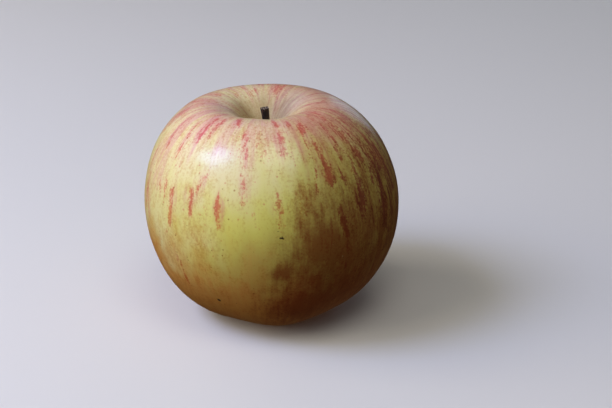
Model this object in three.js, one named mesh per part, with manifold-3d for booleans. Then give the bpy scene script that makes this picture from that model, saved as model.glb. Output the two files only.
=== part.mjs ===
// A ripe striped apple, as picked, standing on its own base: the fruit with its stem cavity and basin,
// the short woody stem, and the dried calyx under the basin's floor.
// Millimetres, +Z up, the surface it rests on at z = 0. Its best side faces -Y, and -X is on the left there.
import * as THREE from 'three';
import { mergeVertices } from 'three/addons/utils/BufferGeometryUtils.js';
import Module from 'manifold-3d';

const wasm = await Module();
wasm.setup();

// The fruit's meridian before it leans, measured from its axis and from the lowest point of its foot
const EQUATOR_RADIUS = 40;
const HEIGHT = 68.3;
const EQUATOR_HEIGHT = 36.4;
const CREST_RADIUS = 17.9;
const FOOT_RADIUS = 12.8;
const CAVITY_DEPTH = 13;
const CAVITY_FLOOR_RADIUS = 2;
const BASIN_DEPTH = 7.6;
const BASIN_FLOOR_RADIUS = 3.4;

// How far the meridian runs on straight past each of its turning places: its curve's handles
const CREST_INWARD = 7.1;
const CREST_OUTWARD = 10.7;
const EQUATOR_UPWARD = 18;
const EQUATOR_DOWNWARD = 20.5;
const FOOT_OUTWARD = 12.3;
const FOOT_INWARD = 5.8;
const CAVITY_FLOOR_OUTWARD = 3;
const CAVITY_FLOOR_UPWARD = 7.4;
const BASIN_FLOOR_OUTWARD = 2.2;

// Five lobes, the lean of the axis and the fuller side, as the fruit grew
const LOBES = 5;
const LOBE_AZIMUTH = THREE.MathUtils.degToRad(-81.5);
const LOBE_SWELL_AT_FOOT = 0.02;
const LOBE_SWELL_AT_CREST = 0.009;
const FOOT_VALLEY_RISE = 0.7;
const FOOT_RISE_FADE = 6;
const LOBES_START_RADIUS = 3;
const LOBES_FULL_RADIUS = 9;
const LEAN_AT_TOP = -2.4;
const LEAN_AT_FOOT = -0.3;
const CREST_TILT = 0.045;
const FULLER_SIDE = 0.019;
const FULLER_AZIMUTH = THREE.MathUtils.degToRad(-28);
const CAVITY_FOLDS = 7;
const CAVITY_FOLD_DEPTH = 0.25;
const CAVITY_FOLD_RADIUS = 9;
const CAVITY_FOLD_REACH = 4.5;

// The lobes' undersides are pressed flat by this much, which leaves five small pads to stand on
const PAD_PRESS = 0.15;

// What stands in a hole of the fruit keeps this clearance all round
const CLEARANCE = 0.3;

// The stem: its radius at the root and at the broken end, its slimmer waist, and its end below the crest
const STEM_RADIUS = 1.4;
const STEM_WAIST_SHARE = 0.84;
const STEM_KNOB_LENGTH_SHARE = 0.14;
const STEM_END_DEPTH = 1.7;
const STEM_END_SLOPE = 0.3;
const STEM_BEND = 0.35;
const STEM_RIDGES = 4;
const STEM_RIDGE_SHARE = 0.05;
const STEM_TWIST = 2;
const STEM_SOCKET_DEPTH = 4;

// The calyx: a cup let into the basin's floor, with five sepals and a tuft of stamens
const CUP_RADIUS = 2.3;
const CUP_WALL = 0.8;
const CUP_DEPTH = 2.6;
const CUP_FLOOR = 0.8;
const CUP_STANDS_PROUD = 0.6;
const SEPALS = 5;
const SEPAL_WIDTH = 3.3;
const SEPAL_TIP_WIDTH = 0.5;
const SEPAL_ROOT_DEPTH = 0.3;
const SEPAL_DROP = 3.5;
const SEPAL_REACH = 3.2;
const SEPAL_THICKNESS = 0.7;
const SEPAL_CUPPING = 0.25;
const SEPAL_SECTION = [[-1, 0], [-0.6, -1], [0.6, -1], [1, 0], [0.6, 1], [-0.6, 1]];
const STAMENS = 6;
const STAMEN_THICKNESS = 0.64;
const STAMEN_RING_RADIUS = 0.55;
const STAMEN_DROP = 2.2;
const STAMEN_SPREAD = 0.75;
const STAMEN_SECTION = [[-1, 0], [0, -1], [1, 0], [0, 1]];

// How finely the curved surfaces are cut into facets: the foot more finely than the flank above it
const ROUND_STEPS = 60;
const CAVITY_STEPS = 10;
const SHOULDER_STEPS = 11;
const FLANK_STEPS = 11;
const FOOT_STEPS = 5;
const FOOT_SHARE_OF_FLANK = 0.12;
const BASIN_STEPS = 10;
const STEM_SIDES = 12;
const STEM_STEPS = 14;
const CUP_STEPS = 20;
const SEPAL_STEPS = 7;
const STAMEN_STEPS = 4;
const SKIN_MERGE = 1e-3;

const stemSocketRadius = STEM_RADIUS + CLEARANCE;
const cavityFloor = HEIGHT - CAVITY_DEPTH;
const socketFloor = cavityFloor - STEM_SOCKET_DEPTH;
const cupRecessRadius = CUP_RADIUS + CLEARANCE;
const cupRecessTop = BASIN_DEPTH + CUP_DEPTH;
const cupTop = cupRecessTop - CLEARANCE;
const cupFloor = cupTop - CUP_FLOOR;
const cupRim = BASIN_DEPTH - CUP_STANDS_PROUD;

const point = (radius, height) => new THREE.Vector2(radius, height);

/** Takes a point of the upright, perfectly round fruit to its place on the grown one. */
function grow(place) {
  const radius = Math.hypot(place.x, place.y);
  const azimuth = Math.atan2(place.y, place.x);
  const up = place.z / HEIGHT;
  const down = 1 - up;
  const lobed = THREE.MathUtils.smoothstep(radius, LOBES_START_RADIUS, LOBES_FULL_RADIUS);
  const lobe = Math.cos(LOBES * (azimuth - LOBE_AZIMUTH));
  const swell = lobed * lobe * (LOBE_SWELL_AT_FOOT * down ** 2 + LOBE_SWELL_AT_CREST * up ** 2);
  const belly = Math.sin(Math.PI * THREE.MathUtils.clamp(up, 0, 1)) * radius / EQUATOR_RADIUS;
  const stretch = 1 + swell + FULLER_SIDE * Math.cos(azimuth - FULLER_AZIMUTH) * belly;
  const valley = FOOT_VALLEY_RISE * lobed * (1 - lobe) / 2 * down ** FOOT_RISE_FADE;
  const nearFold = Math.exp(-(((radius - CAVITY_FOLD_RADIUS) / CAVITY_FOLD_REACH) ** 2));
  const fold = up > 0.5 ? CAVITY_FOLD_DEPTH * Math.cos(CAVITY_FOLDS * azimuth) * nearFold : 0;
  const x = place.x * stretch + LEAN_AT_TOP * up ** 2 + LEAN_AT_FOOT * down ** 2;
  const y = place.y * stretch;
  const z = place.z + valley + fold + CREST_TILT * x * up ** 2 * radius / EQUATOR_RADIUS;
  return new THREE.Vector3(x, y, Math.max(z - PAD_PRESS, 0));
}

/** Moves every corner of a shape drawn on the upright fruit to its grown place. */
function growAll(geometry) {
  const places = geometry.getAttribute('position');
  const place = new THREE.Vector3();
  for (let i = 0; i < places.count; i += 1) {
    place.fromBufferAttribute(places, i);
    const grown = grow(place);
    places.setXYZ(i, grown.x, grown.y, grown.z);
  }
  return geometry;
}

/** Joins the seams of a shape and drops the triangles that shrink to nothing at its poles. */
function closeSkin(geometry) {
  geometry.deleteAttribute('normal');
  geometry.deleteAttribute('uv');
  const merged = mergeVertices(geometry, SKIN_MERGE);
  const corners = merged.getIndex().array;
  const kept = [];
  for (let i = 0; i < corners.length; i += 3) {
    const [a, b, c] = corners.slice(i, i + 3);
    if (a !== b && b !== c && c !== a) {
      kept.push(a, b, c);
    }
  }
  merged.setIndex(kept);
  return merged;
}

/** Turns a profile of radius and height, drawn from the bottom up, round the Z axis. */
function turned(profile, steps) {
  return new THREE.LatheGeometry(profile, steps).rotateX(Math.PI / 2);
}

/** Evenly spaced places on a stretch of a curve, with both ends, given as shares of its length. */
function stretchOf(curve, from, to, steps) {
  return Array.from({ length: steps + 1 }, (_, step) => curve.getPointAt(from + (to - from) * step / steps));
}

/** A closed skin over rings of equally many places, from the first ring to the last. */
function loft(rings) {
  const sides = rings[0].length;
  const places = rings.flat();
  const corners = [];
  for (let ring = 0; ring + 1 < rings.length; ring += 1) {
    for (let side = 0; side < sides; side += 1) {
      const here = ring * sides + side;
      const next = ring * sides + (side + 1) % sides;
      corners.push(here, next, here + sides, next, next + sides, here + sides);
    }
  }
  const capCentre = (ring) => ring.reduce((sum, place) => sum.add(place), new THREE.Vector3())
    .divideScalar(sides);
  const start = places.length;
  const end = start + 1;
  const lastRing = (rings.length - 1) * sides;
  places.push(capCentre(rings[0]), capCentre(rings.at(-1)));
  for (let side = 0; side < sides; side += 1) {
    const next = (side + 1) % sides;
    corners.push(start, next, side, end, lastRing + side, lastRing + next);
  }
  const geometry = new THREE.BufferGeometry().setFromPoints(places);
  geometry.setIndex(corners);
  return geometry;
}

/** The solid that the boolean library works on, from a closed shape. */
function toSolid(geometry) {
  const closed = closeSkin(geometry);
  return new wasm.Manifold(new wasm.Mesh({
    numProp: 3,
    vertProperties: new Float32Array(closed.getAttribute('position').array),
    triVerts: new Uint32Array(closed.getIndex().array),
  }));
}

/** The closed shape of a solid after its cuts and joins. */
function toGeometry(solid) {
  const { vertProperties, triVerts, numProp } = solid.getMesh();
  const places = [];
  for (let i = 0; i < vertProperties.length; i += numProp) {
    places.push(...vertProperties.subarray(i, i + 3));
  }
  const geometry = new THREE.BufferGeometry();
  geometry.setAttribute('position', new THREE.Float32BufferAttribute(places, 3));
  geometry.setIndex(Array.from(triVerts));
  return geometry;
}

/** The fruit's meridian from the calyx recess round the flank to the stem socket, axis to axis. */
function fruitProfile() {
  const basin = new THREE.CubicBezierCurve(
    point(BASIN_FLOOR_RADIUS, BASIN_DEPTH),
    point(BASIN_FLOOR_RADIUS + BASIN_FLOOR_OUTWARD, BASIN_DEPTH),
    point(FOOT_RADIUS - FOOT_INWARD, 0),
    point(FOOT_RADIUS, 0),
  );
  const flank = new THREE.CubicBezierCurve(
    point(FOOT_RADIUS, 0),
    point(FOOT_RADIUS + FOOT_OUTWARD, 0),
    point(EQUATOR_RADIUS, EQUATOR_HEIGHT - EQUATOR_DOWNWARD),
    point(EQUATOR_RADIUS, EQUATOR_HEIGHT),
  );
  const shoulder = new THREE.CubicBezierCurve(
    point(EQUATOR_RADIUS, EQUATOR_HEIGHT),
    point(EQUATOR_RADIUS, EQUATOR_HEIGHT + EQUATOR_UPWARD),
    point(CREST_RADIUS + CREST_OUTWARD, HEIGHT),
    point(CREST_RADIUS, HEIGHT),
  );
  const cavity = new THREE.CubicBezierCurve(
    point(CREST_RADIUS, HEIGHT),
    point(CREST_RADIUS - CREST_INWARD, HEIGHT),
    point(CAVITY_FLOOR_RADIUS + CAVITY_FLOOR_OUTWARD, cavityFloor + CAVITY_FLOOR_UPWARD),
    point(CAVITY_FLOOR_RADIUS, cavityFloor),
  );
  return [
    point(0, cupRecessTop),
    point(cupRecessRadius, cupRecessTop),
    point(cupRecessRadius, BASIN_DEPTH),
    ...stretchOf(basin, 0, 1, BASIN_STEPS),
    ...stretchOf(flank, 0, FOOT_SHARE_OF_FLANK, FOOT_STEPS).slice(1),
    ...stretchOf(flank, FOOT_SHARE_OF_FLANK, 1, FLANK_STEPS).slice(1),
    ...stretchOf(shoulder, 0, 1, SHOULDER_STEPS).slice(1),
    ...stretchOf(cavity, 0, 1, CAVITY_STEPS).slice(1),
    point(stemSocketRadius, cavityFloor),
    point(stemSocketRadius, socketFloor),
    point(0, socketFloor),
  ];
}

/** The fruit: its round body with the stem cavity above and the lobed foot and basin below. */
function fruitShape() {
  return closeSkin(growAll(turned(fruitProfile(), ROUND_STEPS)));
}

/** The stem: a ridged, slightly bent stalk, thicker at the root and at the broken end. */
function stemShape() {
  const foot = socketFloor + CLEARANCE;
  const length = HEIGHT - STEM_END_DEPTH - foot;
  const rings = [];
  for (let step = 0; step <= STEM_STEPS; step += 1) {
    const along = step / STEM_STEPS;
    const knob = Math.exp(-(((1 - along) / STEM_KNOB_LENGTH_SHARE) ** 2));
    const swell = Math.max((1 - along) ** 2, knob);
    const thickness = STEM_RADIUS * (STEM_WAIST_SHARE + (1 - STEM_WAIST_SHARE) * swell);
    const sideways = STEM_BEND * Math.sin(Math.PI * along) * along;
    const endSlope = step === STEM_STEPS ? STEM_END_SLOPE : 0;
    const ring = [];
    for (let side = 0; side < STEM_SIDES; side += 1) {
      const turn = side / STEM_SIDES * 2 * Math.PI;
      const ridged = thickness * (1 + STEM_RIDGE_SHARE * Math.cos(STEM_RIDGES * turn + STEM_TWIST * along));
      ring.push(new THREE.Vector3(
        sideways + ridged * Math.cos(turn),
        ridged * Math.sin(turn),
        foot + length * along + endSlope * Math.cos(turn),
      ));
    }
    rings.push(ring);
  }
  return closeSkin(growAll(loft(rings)));
}

/** A blade or thread along a curve in the plane of radius and height, turned to an azimuth. */
function blade(spine, azimuth, section, widthAt, thickness, steps) {
  const upright = new THREE.Vector3(0, 0, 1);
  const rings = [];
  for (let step = 0; step <= steps; step += 1) {
    const along = step / steps;
    const middle = spine.getPointAt(along);
    const heading = spine.getTangentAt(along);
    const outward = point(-heading.y, heading.x);
    const half = widthAt(along) / 2;
    rings.push(section.map(([across, through]) => {
      const lift = through * thickness / 2 + SEPAL_CUPPING * half * across ** 2;
      const place = new THREE.Vector3(middle.x, across * half, middle.y);
      place.add(new THREE.Vector3(outward.x, 0, outward.y).multiplyScalar(lift));
      return place.applyAxisAngle(upright, azimuth);
    }));
  }
  return loft(rings);
}

/** The calyx's cup, open towards the ground, with its floor above. */
function cupShape() {
  return turned([
    point(0, cupFloor),
    point(CUP_RADIUS - CUP_WALL, cupFloor),
    point(CUP_RADIUS - CUP_WALL, cupRim),
    point(CUP_RADIUS, cupRim),
    point(CUP_RADIUS, cupTop),
    point(0, cupTop),
  ], CUP_STEPS);
}

/** One dried sepal: it hangs from the cup's rim and curls outwards to its tip. */
function sepalShape(azimuth) {
  const spine = new THREE.CubicBezierCurve(
    point(CUP_RADIUS - CUP_WALL / 2, cupRim + SEPAL_ROOT_DEPTH),
    point(CUP_RADIUS - CUP_WALL, cupRim - 0.6 * SEPAL_DROP),
    point(CUP_RADIUS + 0.1 * SEPAL_REACH, cupRim - SEPAL_DROP),
    point(CUP_RADIUS + SEPAL_REACH, cupRim - SEPAL_DROP),
  );
  const widthAt = (along) => SEPAL_WIDTH * (1 - along ** 1.6) * (0.92 + 0.3 * along) + SEPAL_TIP_WIDTH;
  return blade(spine, azimuth, SEPAL_SECTION, widthAt, SEPAL_THICKNESS, SEPAL_STEPS);
}

/** One dried stamen: it stands in the cup's floor and leans a little outwards. */
function stamenShape(azimuth) {
  const spine = new THREE.CubicBezierCurve(
    point(STAMEN_RING_RADIUS, cupTop - CUP_FLOOR / 2),
    point(STAMEN_RING_RADIUS, cupRim),
    point(STAMEN_RING_RADIUS, cupRim - STAMEN_DROP / 3),
    point(STAMEN_RING_RADIUS + STAMEN_SPREAD, cupRim - STAMEN_DROP),
  );
  return blade(spine, azimuth, STAMEN_SECTION, () => STAMEN_THICKNESS, STAMEN_THICKNESS, STAMEN_STEPS);
}

/** The calyx: its cup, its ring of sepals and the stamens between them, grown as one piece. */
function calyxShape() {
  const pieces = [cupShape()];
  for (let sepal = 0; sepal < SEPALS; sepal += 1) {
    pieces.push(sepalShape(LOBE_AZIMUTH + (sepal + 0.5) / SEPALS * 2 * Math.PI));
  }
  for (let stamen = 0; stamen < STAMENS; stamen += 1) {
    pieces.push(stamenShape(stamen / STAMENS * 2 * Math.PI));
  }
  const joined = pieces.map(toSolid).reduce((whole, solid) => whole.add(solid));
  return closeSkin(growAll(toGeometry(joined)));
}

/** A named piece of the apple with its own finish. */
function piece(name, geometry, color, roughness) {
  geometry.computeVertexNormals();
  const mesh = new THREE.Mesh(geometry, new THREE.MeshStandardMaterial({ color, roughness, metalness: 0 }));
  mesh.name = name;
  return mesh;
}

const fruit = piece('fruit', fruitShape(), 0xd3b877, 0.35);
const stem = piece('stem', stemShape(), 0x2a1c12, 0.85);
const calyx = piece('calyx', calyxShape(), 0x4a3a26, 0.9);

// The origin is under the middle of the fruit's outline
const apple = new THREE.Group();
apple.add(fruit, stem, calyx);
const middle = new THREE.Box3().setFromObject(fruit).getCenter(new THREE.Vector3());
apple.position.set(-middle.x, -middle.y, 0);

export default apple;
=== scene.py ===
"""A ripe striped apple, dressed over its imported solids: its skin, its woody stem and its dried calyx."""
import logging
import math
import random
from collections.abc import Callable
from dataclasses import dataclass, fields
from enum import Enum
from typing import ClassVar

import bpy
import numpy as np
from mathutils import Euler, Matrix, Vector
from mathutils.bvhtree import BVHTree


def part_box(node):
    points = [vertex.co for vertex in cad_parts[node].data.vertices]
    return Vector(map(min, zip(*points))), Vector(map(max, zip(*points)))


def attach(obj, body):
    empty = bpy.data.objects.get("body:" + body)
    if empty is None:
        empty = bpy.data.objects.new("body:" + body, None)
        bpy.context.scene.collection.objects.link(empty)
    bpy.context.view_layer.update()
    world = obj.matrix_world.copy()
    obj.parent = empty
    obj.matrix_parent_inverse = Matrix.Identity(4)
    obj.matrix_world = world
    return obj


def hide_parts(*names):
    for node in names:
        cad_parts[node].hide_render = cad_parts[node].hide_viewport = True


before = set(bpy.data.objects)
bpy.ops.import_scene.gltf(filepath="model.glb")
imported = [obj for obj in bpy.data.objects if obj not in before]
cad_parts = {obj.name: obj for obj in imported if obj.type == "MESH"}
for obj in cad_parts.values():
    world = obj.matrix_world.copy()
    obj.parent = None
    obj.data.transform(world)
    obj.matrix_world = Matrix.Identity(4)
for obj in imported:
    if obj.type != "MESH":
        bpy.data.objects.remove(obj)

LOG: logging.Logger = logging.getLogger("apple")
BODY: str = "root"
MM: float = 0.001
GOLDEN_ANGLE: float = math.pi * (3 - math.sqrt(5))

Number = "Wire | float"
Colour = tuple[float, float, float]


def colour(red: int, green: int, blue: int) -> Colour:
    """A linear colour from the red, green and blue of a screen, each from 0 to 255."""
    shares = (red / 255, green / 255, blue / 255)
    return tuple(s / 12.92 if s <= 0.04045 else ((s + 0.055) / 1.055) ** 2.4 for s in shares)


class Wire:
    """A number on a node's socket, which ordinary arithmetic carries on with Math nodes."""

    def __init__(self, graph: "Graph", socket: bpy.types.NodeSocket) -> None:
        """Keeps the graph, so that arithmetic can add nodes to it."""
        self.graph = graph
        self.socket = socket

    def math(self, operation: str, *others: Number) -> "Wire":
        """The result of a Math node whose first value is this wire."""
        return self.graph.math(operation, self, *others)

    def __add__(self, other: Number) -> "Wire":
        """Sum."""
        return self.math("ADD", other)

    __radd__ = __add__

    def __sub__(self, other: Number) -> "Wire":
        """Difference."""
        return self.math("SUBTRACT", other)

    def __rsub__(self, other: Number) -> "Wire":
        """Difference from a plain number."""
        return self.graph.math("SUBTRACT", other, self)

    def __mul__(self, other: Number) -> "Wire":
        """Product."""
        return self.math("MULTIPLY", other)

    __rmul__ = __mul__

    def __truediv__(self, other: Number) -> "Wire":
        """Quotient."""
        return self.math("DIVIDE", other)

    def __pow__(self, other: Number) -> "Wire":
        """Power."""
        return self.math("POWER", other)

    def smooth(self, low: Number, high: Number) -> "Wire":
        """0 below low, 1 above high and a smooth step between them.

        Args:
            low: where the step starts.
            high: where it ends.

        Returns:
            The step.
        """
        step = self.graph.node("ShaderNodeMapRange", {"Value": self, "From Min": low, "From Max": high},
                               interpolation_type="SMOOTHSTEP")
        return Wire(self.graph, step.outputs["Result"])


class Graph:
    """Adds nodes to a shader or geometry tree, and hands back the wires that carry their results."""

    def __init__(self, tree: bpy.types.NodeTree) -> None:
        """Starts on a tree that may hold nodes already."""
        self.tree = tree

    def node(self, kind: str, inputs: dict[str, object] | None = None, **settings: object) -> bpy.types.Node:
        """Adds a node.

        Args:
            kind: the node's type.
            inputs: the values or wires of its inputs, by name.
            settings: its own properties.

        Returns:
            The node.
        """
        made = self.tree.nodes.new(kind)
        for name, value in settings.items():
            setattr(made, name, value)
        for name, value in (inputs or {}).items():
            self.put(made.inputs[name], value)
        return made

    def put(self, socket: bpy.types.NodeSocket, value: object) -> None:
        """Links a wire or a socket to an input, or sets the input's own value.

        Args:
            socket: the input.
            value: the wire, the socket or the plain value.
        """
        if isinstance(value, Wire):
            self.tree.links.new(value.socket, socket)
        elif isinstance(value, bpy.types.NodeSocket):
            self.tree.links.new(value, socket)
        else:
            socket.default_value = value

    def math(self, operation: str, *values: Number) -> Wire:
        """The result of a Math node.

        Args:
            operation: what the node does.
            values: its numbers, in order.

        Returns:
            The result.
        """
        made = self.node("ShaderNodeMath", operation=operation)
        for socket, value in zip(made.inputs, values):
            self.put(socket, value)
        return Wire(self, made.outputs[0])

    def vector(self, x: Number, y: Number, z: Number) -> Wire:
        """A vector put together from three numbers."""
        return Wire(self, self.node("ShaderNodeCombineXYZ", {"X": x, "Y": y, "Z": z}).outputs[0])

    def split(self, vector: Wire | bpy.types.NodeSocket) -> tuple[Wire, Wire, Wire]:
        """The three numbers of a vector."""
        made = self.node("ShaderNodeSeparateXYZ", {"Vector": vector})
        return tuple(Wire(self, socket) for socket in made.outputs)

    def vector_math(self, operation: str, *values: object) -> Wire:
        """The vector result of a Vector Math node.

        Args:
            operation: what the node does.
            values: its vectors, in order.

        Returns:
            The vector.
        """
        made = self.node("ShaderNodeVectorMath", operation=operation)
        for socket, value in zip(made.inputs, values):
            self.put(socket, value)
        return Wire(self, made.outputs["Vector"])

    def noise(self, place: Wire, scale: float, detail: float = 2.0, roughness: float = 0.5) -> Wire:
        """Cloudy noise from 0 to 1 at a place, with its scale in features a unit.

        Args:
            place: the place.
            scale: the features a unit.
            detail: how much finer noise is added.
            roughness: how strong the finer noise is.

        Returns:
            The noise.
        """
        made = self.node("ShaderNodeTexNoise", {
            "Vector": place, "Scale": scale, "Detail": detail, "Roughness": roughness,
        })
        return Wire(self, made.outputs[0])


@dataclass(frozen=True)
class Growth:
    """How the fruit grew: its round meridian, and its lobes, lean and tilt. Lengths are in metres."""

    equator_radius: float = 40 * MM
    height: float = 68.3 * MM
    equator_height: float = 36.4 * MM
    crest_radius: float = 17.9 * MM
    foot_radius: float = 12.8 * MM
    cavity_depth: float = 13 * MM
    cavity_floor_radius: float = 2 * MM
    basin_depth: float = 7.6 * MM
    basin_floor_radius: float = 3.4 * MM
    crest_inward: float = 7.1 * MM
    crest_outward: float = 10.7 * MM
    equator_upward: float = 18 * MM
    equator_downward: float = 20.5 * MM
    foot_outward: float = 12.3 * MM
    foot_inward: float = 5.8 * MM
    cavity_floor_outward: float = 3 * MM
    cavity_floor_upward: float = 7.4 * MM
    basin_floor_outward: float = 2.2 * MM
    lobes: float = 5.0
    lobe_azimuth: float = math.radians(-81.5)
    lobe_swell_at_foot: float = 0.02
    lobe_swell_at_crest: float = 0.009
    foot_valley_rise: float = 0.7 * MM
    foot_rise_fade: float = 6.0
    lobes_start_radius: float = 3 * MM
    lobes_full_radius: float = 9 * MM
    lean_at_top: float = -2.4 * MM
    lean_at_foot: float = -0.3 * MM
    crest_tilt: float = 0.045
    fuller_side: float = 0.019
    fuller_azimuth: float = math.radians(-28)
    cavity_folds: float = 7.0
    cavity_fold_depth: float = 0.25 * MM
    cavity_fold_radius: float = 9 * MM
    cavity_fold_reach: float = 4.5 * MM
    pad_press: float = 0.15 * MM


class PieceTree:
    """A geometry tree for one piece, whose named inputs are the fields of its size classes."""

    curve_steps: int = 200
    weld_distance: float = 1e-6
    blade_end: float = 0.03

    def __init__(self, name: str, *sizes: object) -> None:
        """Opens the tree with one named input for each field of each size class.

        Args:
            name: the piece's name.
            sizes: the size classes, each a dataclass of numbers.
        """
        self.name = name
        self.tree = bpy.data.node_groups.new(name, "GeometryNodeTree")
        self.graph = Graph(self.tree)
        self.tree.interface.new_socket("Geometry", in_out="OUTPUT", socket_type="NodeSocketGeometry")
        self.values: dict[str, float | int] = {}
        for size in sizes:
            for entry in fields(size):
                kind = "NodeSocketInt" if entry.type is int else "NodeSocketFloat"
                socket = self.tree.interface.new_socket(entry.name, in_out="INPUT", socket_type=kind)
                self.values[socket.identifier] = getattr(size, entry.name)
        source = self.graph.node("NodeGroupInput")
        self.inputs = {socket.name: Wire(self.graph, socket) for socket in source.outputs if socket.name}

    def __getitem__(self, field: str) -> Wire:
        """The wire of a size, by the name of its field."""
        return self.inputs[field]

    def stretch(self, *spots: tuple[Number, Number]) -> Wire:
        """A curve in the plane of radius and height.

        Args:
            spots: its start, its start's handle, its end's handle and its end, as (radius, height).

        Returns:
            The curve.
        """
        names = ("Start", "Start Handle", "End Handle", "End")
        corners = [self.graph.vector(radius, 0.0, height) for radius, height in spots]
        made = self.graph.node("GeometryNodeCurvePrimitiveBezierSegment", {
            "Resolution": self.curve_steps, **dict(zip(names, corners)),
        }, mode="POSITION")
        return Wire(self.graph, made.outputs["Curve"])

    def joined(self, *parts: Wire) -> Wire:
        """Several geometries as one, in their order.

        Args:
            parts: the geometries.

        Returns:
            The one geometry.
        """
        made = self.graph.node("GeometryNodeJoinGeometry")
        for part in reversed(parts):
            self.tree.links.new(part.socket, made.inputs[0])
        return Wire(self.graph, made.outputs[0])

    def sample(self, curve: Wire, share: Wire) -> tuple[Wire, Wire]:
        """The place and the tangent on a curve at a share of its whole length.

        Args:
            curve: the curve.
            share: the share, from 0 to 1.

        Returns:
            The place and the tangent.
        """
        made = self.graph.node("GeometryNodeSampleCurve", {"Curves": curve, "Factor": share},
                               mode="FACTOR", use_all_curves=True)
        return Wire(self.graph, made.outputs["Position"]), Wire(self.graph, made.outputs["Tangent"])

    def position(self) -> Wire:
        """The place of each point."""
        return Wire(self.graph, self.graph.node("GeometryNodeInputPosition").outputs[0])

    def sheet(self, steps_along: Number, steps_round: Number) -> tuple[Wire, Wire, Wire, Wire]:
        """A flat grid to be shaped.

        Args:
            steps_along: the faces along it.
            steps_round: the faces round it.

        Returns:
            The grid, the share along it, the share round it and its UV map.
        """
        made = self.graph.node("GeometryNodeMeshGrid", {
            "Size X": 1.0, "Size Y": 1.0, "Vertices X": steps_along + 1, "Vertices Y": steps_round + 1,
        })
        along, around, _ = self.graph.split(self.position())
        grid = Wire(self.graph, made.outputs["Mesh"])
        return grid, along + 0.5, around + 0.5, Wire(self.graph, made.outputs["UV Map"])

    def keep(
        self, geometry: Wire, name: str, value: Number, kind: str = "FLOAT", domain: str = "POINT"
    ) -> Wire:
        """Stores a value on a geometry under a name.

        Args:
            geometry: what gets the value.
            name: the attribute's name.
            value: the value.
            kind: its data type.
            domain: what it is stored on.

        Returns:
            The geometry with the attribute.
        """
        made = self.graph.node("GeometryNodeStoreNamedAttribute", {
            "Geometry": geometry, "Name": name, "Value": value,
        }, data_type=kind, domain=domain)
        return Wire(self.graph, made.outputs["Geometry"])

    def place(self, geometry: Wire, position: Wire) -> Wire:
        """Moves a geometry's points to positions."""
        made = self.graph.node("GeometryNodeSetPosition", {"Geometry": geometry, "Position": position})
        return Wire(self.graph, made.outputs["Geometry"])

    def push(self, geometry: Wire, distance: Wire) -> Wire:
        """Moves a geometry's points out along their normals by a distance.

        Args:
            geometry: what is moved.
            distance: how far, in metres.

        Returns:
            The moved geometry.
        """
        normal = self.graph.node("GeometryNodeInputNormal").outputs[0]
        offset = self.graph.node("ShaderNodeVectorMath", {0: normal, 3: distance}, operation="SCALE")
        made = self.graph.node("GeometryNodeSetPosition", {
            "Geometry": geometry, "Offset": offset.outputs["Vector"],
        })
        return Wire(self.graph, made.outputs["Geometry"])

    def weld(self, geometry: Wire) -> Wire:
        """Closes the seams and poles of a shaped grid."""
        made = self.graph.node("GeometryNodeMergeByDistance", {
            "Geometry": geometry, "Distance": self.weld_distance,
        })
        return Wire(self.graph, made.outputs["Geometry"])

    def real(self, geometry: Wire) -> Wire:
        """Instances turned into real faces."""
        made = self.graph.node("GeometryNodeRealizeInstances", {"Geometry": geometry})
        return Wire(self.graph, made.outputs["Geometry"])

    def turned(self, profile: Wire, steps_along: Number, steps_round: Number) -> Wire:
        """A profile turned round the Z axis.

        Args:
            profile: the curve of radius and height, with the solid on its left, from axis to axis.
            steps_along: the faces along the profile.
            steps_round: the faces round the axis.

        Returns:
            The closed shape, with its faces pointing out.
        """
        grid, along, around, _ = self.sheet(steps_along, steps_round)
        radius, _, height = self.graph.split(self.sample(profile, along)[0])
        turn = around * (-2 * math.pi)
        spot = self.graph.vector(radius * turn.math("COSINE"), radius * turn.math("SINE"), height)
        return self.weld(self.place(grid, spot))

    def blade(
        self, spine: Wire, half_width: Callable[[Wire], Wire], thickness: Number, cupping: Number,
        steps_along: int, steps_round: int,
    ) -> Wire:
        """A closed blade or thread along a curve in the plane of radius and height.

        Args:
            spine: the curve.
            half_width: gives the half width from the share along the spine.
            thickness: the thickness across it.
            cupping: how much its edges rise, as a share of the half width.
            steps_along: the faces along it.
            steps_round: the faces round it.

        Returns:
            The blade.
        """
        graph = self.graph
        grid, along, around, _ = self.sheet(steps_along, steps_round)
        spot, tangent = self.sample(spine, along)
        middle, _, height = graph.split(spot)
        outward, _, upward = graph.split(tangent)
        turn = around * (-2 * math.pi)
        from_root = (along / self.blade_end).math("MINIMUM", 1.0)
        from_tip = ((1.0 - along) / self.blade_end).math("MINIMUM", 1.0)
        closing = (from_root * from_tip).math("MAXIMUM", 0.0) ** 0.5
        half = half_width(along)
        across = turn.math("COSINE")
        lift = turn.math("SINE") * thickness * closing * 0.5 + cupping * half * across * across
        shaped = graph.vector(middle - upward * lift, across * half * closing, height + outward * lift)
        return self.weld(self.place(grid, shaped))

    def index(self) -> Wire:
        """The number of each point, from 0."""
        return Wire(self.graph, self.graph.node("GeometryNodeInputIndex").outputs[0])

    def points(self, count: Number, position: Wire) -> Wire:
        """So many loose points at positions."""
        made = self.graph.node("GeometryNodePoints", {"Count": count, "Position": position})
        return Wire(self.graph, made.outputs[0])

    def cone(self, sides: int, foot_radius: Number, tip_radius: Number, length: Number) -> Wire:
        """A thin cone that stands on the origin."""
        made = self.graph.node("GeometryNodeMeshCone", {
            "Vertices": sides, "Radius Top": tip_radius, "Radius Bottom": foot_radius, "Depth": length,
        })
        return Wire(self.graph, made.outputs["Mesh"])

    def scatter(self, points: Wire, instance: Wire, rotation: Wire, scale: Wire) -> Wire:
        """Copies of a shape on points, turned and scaled, as real faces."""
        made = self.graph.node("GeometryNodeInstanceOnPoints", {
            "Points": points, "Instance": instance, "Rotation": rotation, "Scale": scale,
        })
        return self.real(Wire(self.graph, made.outputs["Instances"]))

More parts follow.
